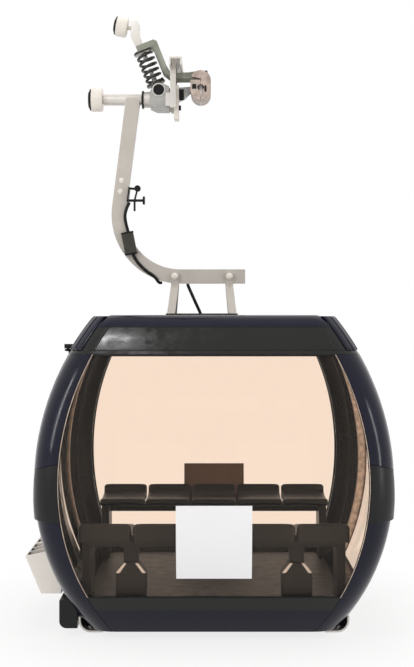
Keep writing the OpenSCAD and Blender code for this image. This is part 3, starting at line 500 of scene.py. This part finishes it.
def patch(outer, inner, nu, nv):
    """A closed panel between two curved skins, each a function of two shares from 0 to 1."""
    cols = nu + 1
    size = cols * (nv + 1)
    points = [Vector(skin(i / nu, j / nv))
              for skin in (outer, inner) for j in range(nv + 1) for i in range(cols)]
    faces = []
    for k in (0, 1):
        for j in range(nv):
            for i in range(nu):
                a = k * size + j * cols + i
                quad = (a, a + 1, a + 1 + cols, a + cols)
                faces.append(quad if k else quad[::-1])
    for i in range(nu):
        faces.append((i, i + 1, size + i + 1, size + i))
        top = nv * cols + i
        faces.append((top, size + top, size + top + 1, top + 1))
    for j in range(nv):
        left, right = j * cols, j * cols + nu
        faces.append((left, size + left, size + left + cols, left + cols))
        faces.append((right, right + cols, size + right + cols, size + right))
    return points, faces


def soften(mesh, angle=32):
    """Smooth shading with hard edges where faces meet at more than that angle."""
    work = bmesh.new()
    work.from_mesh(mesh)
    bmesh.ops.recalc_face_normals(work, faces=work.faces)
    limit = math.radians(angle)
    for face in work.faces:
        face.smooth = True
    for edge in work.edges:
        edge.smooth = edge.is_manifold and edge.calc_face_angle(0) < limit
    work.to_mesh(mesh)
    work.free()


def add(name, shape, material, body, hides=(), bevel=0.0, steps=2, angle=32):
    """Makes one piece of a shape and on its body, if it has just one."""
    mesh = bpy.data.meshes.new(name)
    mesh.from_pydata([tuple(p) for p in shape[0]], [], shape[1])
    mesh.materials.append(material)
    soften(mesh, angle)
    piece = bpy.data.objects.new(name, mesh)
    bpy.context.collection.objects.link(piece)
    ease(piece, bevel, steps)
    if body:
        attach(piece, body)
    if hides:
        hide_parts(*hides)
    return piece


def ease(piece, bevel, steps=2):
    if not bevel:
        return
    edge = piece.modifiers.new("eased", "BEVEL")
    edge.width = bevel
    edge.segments = steps
    edge.limit_method = "ANGLE"
    edge.angle_limit = math.radians(34)
    edge.harden_normals = True
    edge.miter_outer = "MITER_ARC"


def dress(node, bevel=0.0, material=None, steps=2, angle=32):
    """A finer copy of a CAD node: merged flat faces, eased edges and smooth shading."""
    mesh = frame["nodes"][node].data.copy()
    work = bmesh.new()
    work.from_mesh(mesh)
    bmesh.ops.remove_doubles(work, verts=work.verts, dist=1e-5)
    bmesh.ops.dissolve_limit(work, angle_limit=math.radians(0.4), verts=work.verts, edges=work.edges)
    work.to_mesh(mesh)
    work.free()
    mesh.materials.clear()
    mesh.materials.append(material or FINISH[SLOT_OF[node]])
    soften(mesh, angle)
    piece = bpy.data.objects.new(node + "_finished", mesh)
    bpy.context.collection.objects.link(piece)
    ease(piece, bevel, steps)
    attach(piece, BODY_OF[node])
    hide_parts(node)
    return piece


def repaint(piece, material, test):
    """Gives the material to the faces whose centre and normal pass the test."""
    mesh = piece.data
    mesh.materials.append(material)
    index = len(mesh.materials) - 1
    for face in mesh.polygons:
        if test(face.center, face.normal):
            face.material_index = index


# ---------------------------------------------------------------- cabin shell

def on_corner(angle, height, inset, side, end):
    """A point of the upright corner on that side and end: 0 degrees is at the side, 90 at the end."""
    reach = CORNER_R - inset
    x = flat_x(height) + reach * math.cos(math.radians(angle))
    y = flat_y(height) + reach * math.sin(math.radians(angle))
    return (CABIN_X + side * x, end * y, BASE_Z + height)


def on_end(x, height, inset, end):
    return (CABIN_X + x, end * (half_y(height) - inset), BASE_Z + height)


def on_side(y, height, inset, side):
    return (CABIN_X + side * (half_x(height) - inset), y, BASE_Z + height)


def faces_in(centre, normal):
    """True where a face of the shell looks at the cabin's middle."""
    inward = Vector((CABIN_X - centre.x, -centre.y, 0)).normalized()
    return normal.dot(inward) > 0.35


RAIL_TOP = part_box("roof_rails")[1].z - BASE_Z
RAIL_PROUD = 0.012      # how far the roof rails stand out
RAIL_WRAP = 60          # degrees of the corner that a rail's end wraps
RAIL_GROOVES = (20, 41)
GROOVE_HALF = 4.5       # half the width of a groove, in degrees
GROOVE_DEEP = 0.008
RAIL_STRAIGHT = 0.4     # share of a rail's half that runs along the side wall
TIP_TURN = 5            # degrees over which its tip is rounded, by TIP_IN
TIP_IN = 0.007
RIM_HIGH = 0.012        # height over which its upper and lower edges are rounded, by RIM_IN
RIM_IN = 0.005


def rail_skin(side, end):
    """One half of a rail: from the middle of the side wall round the corner, with grooves up its end."""
    def inset(angle, height):
        out = RAIL_PROUD
        for groove in RAIL_GROOVES:
            near = max(0, 1 - abs(angle - groove) / GROOVE_HALF)
            out -= GROOVE_DEEP * near * near * (3 - 2 * near)
        tip = max(0, 1 - (RAIL_WRAP - angle) / TIP_TURN)
        rim = max(0, 1 - min(height - CAP_Z, RAIL_TOP - height) / RIM_HIGH)
        return -(out - TIP_IN * tip * tip - RIM_IN * rim * rim)

    def skin(depth):
        def place(u, v):
            height = mix(CAP_Z, RAIL_TOP, v)
            if u < RAIL_STRAIGHT:
                y = end * mix(0, flat_y(height), u / RAIL_STRAIGHT)
                return on_side(y, height, depth(0, height), side)
            angle = mix(0, RAIL_WRAP, (u - RAIL_STRAIGHT) / (1 - RAIL_STRAIGHT))
            return on_corner(angle, height, depth(angle, height), side, end)
        return place

    return patch(skin(inset), skin(lambda angle, height: WALL_T), 100, 20)


def make_rails():
    halves = [rail_skin(side, end) for side in (-1, 1) for end in (-1, 1)]
    add("roof_rails_finished", merged(*halves), NAVY, "cabin", ["roof_rails"])


BAND_LOW = 0.180        # height of the lower edge of the black band on the end skirts
SKIRT_SEAM = 0.0005     # gap between the end skirts and the corners


def make_skirts():
    for name, end in (("front_skirt", -1), ("rear_skirt", 1)):
        def skin(inset):
            return lambda u, v: on_end(mix(-1, 1, u) * (flat_x(SILL_Z * v) - SKIRT_SEAM),
                                       SILL_Z * v, inset, end)
        panel = patch(skin(0), skin(WALL_T), 2, 44)
        piece = add(name + "_finished", panel, NAVY, "cabin", [name], bevel=0.004)
        repaint(piece, BLACK_GLOSS, lambda c, n: c.z > BASE_Z + BAND_LOW or faces_in(c, n))


SEAL_W = 0.012          # width of the windows' seals
SEAL_OUT = 0.003        # how far they stand out
SEAL_IN = 0.004         # and how far they reach into the wall
PANE_GAP = 0.044        # from the side pillars' far edge to the edge of the middle pane


def window_seal(skin, width):
    """Four strips along the edges of a window, which is a function of a share along it, a height and
    an inset. The width of the upright strips is a share of the window's own."""
    def strip(near, far, bottom, top, rows):
        def face(inset):
            return lambda u, v: skin(mix(near, far, u), mix(bottom, top, v), inset)
        return patch(face(-SEAL_OUT), face(SEAL_IN), 2, rows)

    strips = [strip(near, far, SILL_Z, HEADER_Z, 30) for near, far in ((0, width), (1 - width, 1))]
    for bottom, top in ((SILL_Z, SILL_Z + SEAL_W), (HEADER_Z - SEAL_W, HEADER_Z)):
        strips.append(strip(width, 1 - width, bottom, top, 2))
    return strips


def make_seals():
    strips = []
    for end in (-1, 1):
        strips += window_seal(lambda t, h, inset: on_end(mix(-1, 1, t) * flat_x(h), h, inset, end), 0.006)
    add("end_window_seals", merged(*strips), RUBBER, "cabin", bevel=0.0012)
    strips = []
    pillar = -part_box("side_pillars")[0].y
    pane = pillar - PANE_GAP
    for side in (-1, 1):
        for end in (-1, 1):
            strips += window_seal(
                lambda t, h, inset: on_side(end * mix(pillar, flat_y(h), t), h, inset, side), 0.03)
    strips += window_seal(lambda t, h, inset: on_side(mix(-pane, pane, t), h, inset, 1), 0.012)
    add("side_window_seals", merged(*strips), RUBBER, "cabin", bevel=0.0012)


HIGHLIGHT_SPAN = (0.003, 0.0075)  # from where to where the pale strips of painted highlight run, in from the corners
HIGHLIGHT_OUT = 0.001        # how far they stand out from the seals
HIGHLIGHT_IN = 0.0004        # and how far they are let in


# Pale strips of painted highlight along the upright edges of both end windows, where the seals catch the light
def make_window_highlights():
    edges = []
    for end in (-1, 1):
        for side in (-1, 1):
            def skin(inset):
                return lambda u, v: on_end(side * (flat_x(mix(SILL_Z, HEADER_Z, v)) - mix(*HIGHLIGHT_SPAN, u)),
                                           mix(SILL_Z, HEADER_Z, v), inset, end)
            edges.append(patch(skin(-SEAL_OUT - HIGHLIGHT_OUT), skin(-SEAL_OUT + HIGHLIGHT_IN), 1, 60))
    add("end_window_painted_highlights", merged(*edges), PAINTED_HIGHLIGHT, "cabin")


DECAL_SIZE = 0.507      # side of the blank stickers on both end windows
DECAL_Z = 0.672         # height of their middle
DECAL_SKINS = (-0.0014, -0.0004)  # insets of their outer and inner faces


def make_decals():
    for name, end in (("front_sticker", -1), ("rear_sticker", 1)):
        def skin(inset):
            return lambda u, v: on_end(DECAL_SIZE * (u - 0.5), DECAL_Z + DECAL_SIZE * (v - 0.5), inset, end)
        outer, inner = DECAL_SKINS
        piece = add(name, patch(skin(outer), skin(inner), 8, 16), DECAL, "cabin")
        # the backs, which look into the cabin, take the painted shade
        repaint(piece, DECAL_BACK_SHADE, lambda c, n: n.y * end < -0.3)


def make_shell():
    for node in ("upper_corner_posts", "lower_corner_posts", "corner_bumpers"):
        repaint(dress(node, 0.005, angle=25), BLACK_TRIM, faces_in)
    for node in ("end_fascias", "header_frame"):
        repaint(dress(node, 0.004, angle=25), BLACK_TRIM, faces_in)
    # the side pillars' inner faces are painted pale: painted reflection of the light that the side panes pass and
    # mirror at a grazing view
    repaint(dress("side_pillars", 0.004, angle=25), PAINTED_HIGHLIGHT, faces_in)
    for node in ("front_window", "rear_window", "right_windows", "left_windows"):
        dress(node, angle=25)
    repaint(dress("side_skirts", 0.004, angle=25), BLACK_TRIM, faces_in)
    make_skirts()
    make_rails()
    make_seals()
    make_window_highlights()
    make_decals()
    dress("ceiling_panel")
    dress("floor")
    dress("roof_shell", 0.0, angle=40)
    dress("guide_rails", 0.002)
    dress("door_sill", 0.003)


def make_doors():
    for side in ("front", "rear"):
        dress(side + "_door", 0.003, angle=25)
        dress(side + "_door_glass", angle=25)
        rack = dress(side + "_ski_rack", 0.0015, material=BLACK_TRIM)
        repaint(rack, RACK, lambda c, n: abs(n.y) > 0.9 or n.z > 0.5)
        dress(side + "_lower_arm", 0.002)
        dress(side + "_upper_arm", 0.002)
    dress("door_arm_brackets", 0.002)


# ---------------------------------------------------------------- benches

SEATS = 5
SEAT_LIP = 0.065        # height of the upright lip at the back of a seat
SEAT_T = 0.042          # thickness of a seat
SEAT_RIM = 0.058        # depth of the rim under its back
SEAT_ROLL = 0.029       # radius of its rolled front edge
SEAT_DISH = 0.010       # depth of its hollow
SEAT_GAP = 0.014        # gap between two seats
PEDESTAL_X = 0.57       # distance of the pedestals from the cabin's middle
FLARE = 0.105           # half the width of their feet
# a gusset's outline, as (distance from the post's middle, height above the foot)
GUSSET = ((0.030, 0.068), (0.050, 0.068), (0.104, 0.001), (0.078, 0.001))


def seat_outline(depth, inset):
    """Section of a seat from its back at 0 to its rolled front edge, as (along, height) pairs."""
    lip = SEAT_LIP - inset
    front = depth - SEAT_ROLL
    reach = SEAT_ROLL - inset
    points = [(inset, lip - 0.012), (inset + 0.008, lip - 0.002), (0.022, lip)]
    points += [(0.030 - inset, SEAT_LIP - 0.010), (0.034 - inset, 0.022)]
    for k in range(9):
        share = k / 8
        height = -inset - SEAT_DISH * math.sin(math.pi * share) + 0.006 * (1 - share) ** 6
        points.append((mix(0.052, front, share), height))
    for k in range(1, 9):
        angle = math.radians(90 - 180 * k / 8)
        points.append((front + reach * math.cos(angle), -SEAT_ROLL + reach * math.sin(angle)))
    points += [(front - 0.02, inset - SEAT_T), (0.05, inset - SEAT_T)]
    points += [(0.03, inset - SEAT_RIM), (inset, inset - SEAT_RIM)]
    return points


def seat_shell(centre_x, back_y, surface_z, width, depth, end):
    """One moulded seat whose upper edges drop towards its sides."""
    half = width / 2
    # places in from each side, with the inset of the section there
    eased = [(0.0, 0.010), (0.003, 0.005), (0.010, 0.001), (0.022, 0.0), (0.06, 0.0), (0.12, 0.0)]
    places = [(-half + a, i) for a, i in eased] + [(0.0, 0.0)] + [(half - a, i) for a, i in reversed(eased)]
    points, faces, rings = [], [], []
    for x, inset in places:
        edge = max(0, abs(x) / half - 0.72) / 0.28
        start = len(points)
        for along, height in seat_outline(depth, inset):
            fall = 0.014 * edge ** 3 if height > 0.01 else 0.004 * edge ** 2
            points.append(Vector((centre_x + x, end * (back_y - along), surface_z + height - fall)))
        rings.append(range(start, len(points)))
    count = len(rings[0])
    for a, b in zip(rings, rings[1:]):
        faces += [(a[k], a[(k + 1) % count], b[(k + 1) % count], b[k]) for k in range(count)]
    faces += [tuple(rings[0]), tuple(reversed(rings[-1]))]
    return points, faces


def make_gussets():
    """Slanted strips from the front bench's posts down to the ends of their feet, in pale steel as a painted
    highlight on the gussets.
    """
    toes = [v.co for v in frame["nodes"]["front_bench_frame"].data.vertices
            if abs(abs(v.co.x - CABIN_X) - PEDESTAL_X - FLARE) < 0.003]
    top, near = max(v.z for v in toes), min(v.y for v in toes)
    plates = []
    for side in (-1, 1):
        for way in (-1, 1):
            outline = [(CABIN_X + side * PEDESTAL_X + way * a, top + b) for a, b in GUSSET]
            plates.append(prism(outline, near - 0.002, near + 0.001))
    # the pale steel here is a painted highlight, where the gussets catch the light
    add("bench_gussets_painted_highlight", merged(*plates), PALE_STEEL, "cabin")


def make_benches():
    for side, end in (("front", -1), ("rear", 1)):
        low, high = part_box(side + "_seats")
        back = max(abs(low.y), abs(high.y))
        depth = high.y - low.y
        pitch = (high.x - low.x + SEAT_GAP) / SEATS
        shells = []
        for k in range(SEATS):
            centre = CABIN_X + (k - (SEATS - 1) / 2) * pitch
            shells.append(seat_shell(centre, back, high.z - SEAT_LIP, pitch - SEAT_GAP, depth, end))
        name = side + "_seats"
        add(name + "_finished", merged(*shells), SEAT, "cabin", [name], angle=50)
        dress(side + "_bench_frame", 0.006)
    make_gussets()


# ---------------------------------------------------------------- hanger

ARM_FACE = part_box("hanger_arm")[0].y
WHEEL_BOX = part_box("running_wheel")
AXLE_Z = (WHEEL_BOX[0].z + WHEEL_BOX[1].z) / 2


def dome(place, direction, radius, height):
    """A rounded head on a thin washer."""
    rise = [(radius * math.cos(math.radians(a)), height * (0.3 + 0.7 * math.sin(math.radians(a))))
            for a in range(0, 90, 15)]
    profile = [(0, 0), (radius * 1.15, 0), (radius * 1.15, height * 0.2)] + rise + [(0, height)]
    return moved(lathe(profile, 32), towards(place, direction))


def ring(outer, inner, low, high, sides=48):
    """A flat ring along Z."""
    points, faces = [], []
    for radius, height in ((outer, low), (outer, high), (inner, high), (inner, low)):
        points += circle(radius, height, sides)
    for j in range(4):
        for k in range(sides):
            n = (k + 1) % sides
            i = (j + 1) % 4
            faces.append((j * sides + k, j * sides + n, i * sides + n, i * sides + k))
    return points, faces


PIN_X = (-0.195, 0.215)  # places of the pins that hold the legs
LEG_PIN = 0.027         # distance of their centres below the legs' highest point
PIN_REACH = 0.071       # how far their heads stand out from the arm's middle
PIN_HEAD = (0.023, 0.012)  # radius and height of the head of a pin
BOLT_HEAD = (0.018, 0.010)  # and of a bolt on the arm
ARM_BOLTS = ((-0.597, -0.685), (-0.606, -0.768))  # their places in the XZ plane
HUB_LOW = AXLE_Z - 0.08  # the arm's hub tube is above this
HUB_BRIGHT_X = -0.47    # it is bare steel from here to the grip
HUB_END_X = -0.57       # and pale beyond here
SLEEVE_MIDDLE = (-0.537, 0, -1.160)
SLEEVE_TURN = -11       # degrees from upright
RIM_X = (-0.047, 0.046)  # the rims of the cable's sleeve, across it
RIM_AWAY = 0.080        # their distance from its middle
RIM_HALF = 0.006        # half their height


def smooth_route(points, steps=6):
    """A finer route that passes through the points."""
    points = [Vector(p) for p in points]
    route = []
    for i in range(len(points) - 1):
        a, b, c, d = (points[min(max(k, 0), len(points) - 1)] for k in (i - 1, i, i + 1, i + 2))
        for k in range(steps):
            t = k / steps
            bend = (2 * a - 5 * b + 4 * c - d) * t * t
            twist = (3 * b - a - 3 * c + d) * t ** 3
            route.append(0.5 * (2 * b + (c - a) * t + bend + twist))
    return route + [points[-1]]


CABLE_R = 0.012
CABLE_Y = ARM_FACE - CABLE_R - 0.001
# the upper stretch on the arm's face, as (x, z), then its turn under the arm, then the lower stretch
UPPER_CABLE = ((-0.541, -0.852), (-0.543, -0.864), (-0.557, -0.895), (-0.570, -0.950), (-0.562, -1.015),
               (-0.545, -1.078), (-0.528, -1.170), (-0.510, -1.240), (-0.486, -1.288), (-0.450, -1.332),
               (-0.408, -1.370), (-0.366, -1.398), (-0.338, -1.424))
CABLE_TURN = ((-0.319, -0.057, -1.449), (-0.307, -0.042, -1.456), (-0.301, -0.024, -1.456))
LOWER_CABLE = ((-0.098, -1.4635), (-0.097, -1.475), (-0.086, -1.502), (-0.062, -1.556), (-0.036, -1.614),
               (-0.012, -1.666), (-0.004, -1.686), (-0.004, -1.6995))


def make_cable():
    upper = smooth_route([(x, CABLE_Y, z) for x, z in UPPER_CABLE] + list(CABLE_TURN))
    lower = smooth_route([(x, 0, z) for x, z in LOWER_CABLE])
    tubes = merged(sweep(upper, CABLE_R, 14), sweep(lower, CABLE_R, 14))
    add("door_cable_finished", tubes, RUBBER, "cabin", ["door_cable"], angle=50)


def make_hanger():
    arm = dress("hanger_arm", 0.006, steps=3, angle=25)
    repaint(arm, STEEL, lambda c, n: c.z > HUB_LOW and c.x > HUB_BRIGHT_X)
    repaint(arm, PALE_STEEL, lambda c, n: c.z > HUB_LOW and c.x < HUB_END_X)
    dress("hanger_legs", 0.003)
    dress("roof_mounts", 0.003)
    make_cable()
    dress("cable_sleeve", 0.004, material=SLEEVE_GREY)
    dress("door_lever", 0.002)
    pin_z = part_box("hanger_legs")[1].z - LEG_PIN
    heads = [dome((x, ARM_FACE, z), (0, -1, 0), *BOLT_HEAD) for x, z in ARM_BOLTS]
    heads += [dome((x, -PIN_REACH, pin_z), (0, -1, 0), *PIN_HEAD) for x in PIN_X]
    add("arm_bolts", merged(*heads), NYLON, "cabin")
    low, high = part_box("cable_sleeve")
    place = Matrix.Translation(SLEEVE_MIDDLE) @ Matrix.Rotation(math.radians(SLEEVE_TURN), 4, "Y")
    rims = []
    for z in (-RIM_AWAY, RIM_AWAY):
        rim = brick((RIM_X[0], low.y - 0.003, z - RIM_HALF), (RIM_X[1], high.y - 0.002, z + RIM_HALF))
        rims.append(moved(rim, place))
    add("sleeve_rims", merged(*rims), RUBBER, "cabin", bevel=0.002)


# ---------------------------------------------------------------- grip

def along(centre, axis, profile, sides=64):
    return moved(lathe(profile, sides), towards(centre, axis))


def roller(name, centre, axis, radius, tread, cap, bore):
    """A nylon roller: its tread from the open face at 0, then the black cap to its closed end."""
    white = [(0, 0.014), (bore, 0.014), (bore, 0), (radius - 0.012, 0), (radius - 0.004, 0.003),
             (radius, 0.011), (radius, tread - 0.010), (radius - 0.004, tread - 0.002),
             (radius - 0.010, tread), (0, tread)]
    add(name + "_tread", along(centre, axis, white), NYLON, name, [name])
    black = [(0, tread + 0.0002), (radius - 0.010, tread + 0.0002), (radius - 0.008, tread + 0.006),
             (radius - 0.012, mix(tread, cap, 0.55)), (radius - 0.024, cap - 0.006), (radius - 0.032, cap),
             (0.034, cap), (0.030, cap - 0.006), (0, cap - 0.006)]
    add(name + "_cap", along(centre, axis, black), RUBBER, name)


WHEEL_TREAD = 0.086     # width of the running wheel's white tread
WHEEL_BORE = 0.02505
ROLLER_TREAD = 0.083    # width of the coupling roller's
ROLLER_CAP = 0.102      # distance from its open face to its cap's end
ROLLER_BORE = 0.01505
ROLLER_FACE = 0.045     # distance from its joint's place to its open face


def make_rollers():
    low, high = WHEEL_BOX
    radius, width = (high.z - low.z) / 2, high.x - low.x
    roller("running_wheel", (high.x, 0, AXLE_Z), (-1, 0, 0), radius, WHEEL_TREAD, width, WHEEL_BORE)
    spin = joint("coupling_roller_spin")
    axis = Vector(spin["axis"]).normalized()
    open_face = Vector(spin["pos_m"]) + axis * ROLLER_FACE
    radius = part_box("coupling_roller")[1].y
    roller("coupling_roller", open_face, -axis, radius, ROLLER_TREAD, ROLLER_CAP, ROLLER_BORE)


SPRING_FOOT = Vector((-0.337, 0, 0.045))
SPRING_HEAD = Vector((-0.439, 0, 0.300))
SPRING_R = 0.0585       # radius of the wire's path
WIRE_R = 0.0105
SPRING_TURNS = 5
TURN_STEPS = 40         # points along one turn
SPRING_SEAT = 0.017     # thickness of the seat under it
SPRING_CAP = 0.021      # and of the cap on it
SPRING_AXIS = (SPRING_HEAD - SPRING_FOOT).normalized()


def make_spring():
    """The coil between the grip and the lever, as one fixed mesh; the real one bends and shortens when the jaw
    opens.
    """
    axis = SPRING_AXIS
    length = (SPRING_HEAD - SPRING_FOOT).length
    side = Vector((0, 1, 0))
    across = side.cross(axis)
    low, high = SPRING_SEAT + WIRE_R, length - SPRING_CAP - WIRE_R
    route = []
    steps = SPRING_TURNS * TURN_STEPS
    for k in range(steps + 1):
        angle = math.tau * k / TURN_STEPS
        place = SPRING_FOOT + axis * mix(low, high, k / steps)
        route.append(place + SPRING_R * (math.cos(angle) * across + math.sin(angle) * side))
    spring = add("grip_spring_finished", sweep(route, WIRE_R, 16), SPRING, None,
                 ["grip_spring"], angle=60)
    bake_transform(spring)


def by_spring(place):
    """How far a place is along the spring's axis, and how far from it."""
    reach = (place - SPRING_FOOT).dot(SPRING_AXIS)
    return reach, (place - SPRING_FOOT - SPRING_AXIS * reach).length


def rubber(name, shape, body="grip", bevel=0.0):
    """A black part of the grip or its lever that has no CAD node; some are patches of painted shade."""
    add(name, shape, RUBBER, body, bevel=bevel)


BUSHING = (-0.3135, -0.016)  # place of the dark bushing on the body's face, in the XZ plane
HUB_RING_X = -0.4445    # place of the black ring on the hub, along the axle
WEB_PAD = ((-0.162, -0.053, -0.082), (-0.127, -0.0452, 0.002))  # pad beside the plate's web, low and high
GUIDE_PAD_Z = (-0.159, -0.122)  # lower and upper edge of the pad beside the guides
GUIDE_PAD_SIZE = (0.018, 0.014)  # how far it stands out, and its depth
FIXED_CLEFT_SHADE = (-0.064, -0.032, -0.012, 0.024)  # black patch of painted shade on a jaw's cleft: left, right, low and high
MOVING_CLEFT_SHADE = (0.028, 0.044, -0.034, 0.014)
STUD = (0.040, 0.1165)  # place of the moving jaw's stud in the XZ plane


# Black patches of painted shade on the jaws' faces, where the clefts beside the rope's mouth lie in shade
def make_cleft_shades(front):
    for jaw, body, cleft in (("fixed", "grip", FIXED_CLEFT_SHADE), ("moving", "jaw_lever", MOVING_CLEFT_SHADE)):
        left, right, low, high = cleft
        mark = brick((left, front - 0.0004, low), (right, front + 0.002, high))
        rubber(jaw + "_jaw_cleft_painted_shade", mark, body, bevel=0.0006)


def make_grip_details():
    face = towards((BUSHING[0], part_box("grip_body")[0].y, BUSHING[1]), (0, -1, 0))
    add("bushing_ring", moved(ring(0.050, 0.0415, -0.001, 0.006), face), STEEL, "grip")
    rubber("bushing", moved(disc(0.0412, -0.001, 0.004, 0.001), face))
    hub = towards((HUB_RING_X, 0, AXLE_Z), (1, 0, 0))
    rubber("hub_ring", moved(ring(0.067, 0.0585, 0.0, 0.014, 64), hub))
    rod = moved(disc(0.0165, 0.058, 0.128, 0.002), towards(SPRING_FOOT, SPRING_AXIS))
    add("spring_rod", rod, STEEL, "grip")
    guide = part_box("grip_guides")
    low, high = GUIDE_PAD_Z
    out, deep = GUIDE_PAD_SIZE
    guide_pad = brick((guide[1].x + 0.0003, guide[0].y, low), (guide[1].x + out, guide[0].y + deep, high))
    rubber("grip_pads", merged(brick(*WEB_PAD), guide_pad), bevel=0.003)
    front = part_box("moving_jaw")[0].y
    make_cleft_shades(front)
    stud = dome((STUD[0], front + 0.014, STUD[1]), (0.5, 0, 0.85), 0.012, 0.012)
    rubber("jaw_stud", stud, "jaw_lever")


PALE_BODY = (-0.374, -0.02)  # left of and below these the body is pale, in the XZ plane


def is_seat(c, n):
    """True on the rim of the dark seat under the spring."""
    reach, away = by_spring(c)
    return 0.001 < reach < 0.0155 and away > 0.062


def is_cap(c, n):
    """True on the rim of the dark cap on the spring."""
    reach, away = by_spring(c)
    return 0.25 < reach < 0.276 and away > 0.045


def is_rod(c, n):
    """True on what the lever's head has inside the spring."""
    reach, away = by_spring(c)
    return reach < 0.25 and away < 0.03


def make_grip():
    body = dress("grip_body", 0.005, steps=3, angle=25)
    repaint(body, PALE_STEEL, lambda c, n: c.x < PALE_BODY[0] and c.z < PALE_BODY[1])
    repaint(body, SPRING, is_seat)
    dress("hanger_axle", 0.002)
    dress("friction_plate", 0.003, material=PALE_STEEL, steps=3, angle=25)
    dress("fixed_jaw", 0.004, material=JAW, steps=3, angle=25)
    dress("grip_guides", 0.003)
    dress("moving_jaw", 0.004, steps=3, angle=25)
    dress("lever_cheeks", 0.005, steps=3, angle=25)
    head = dress("lever_head", 0.004, steps=3, angle=25)
    repaint(head, SPRING, is_cap)
    repaint(head, STEEL, is_rod)
    make_rollers()
    make_spring()
    make_grip_details()


make_camera()
make_world()
make_floor()
make_lights()
make_shell()
make_doors()
make_benches()
make_hanger()
make_grip()
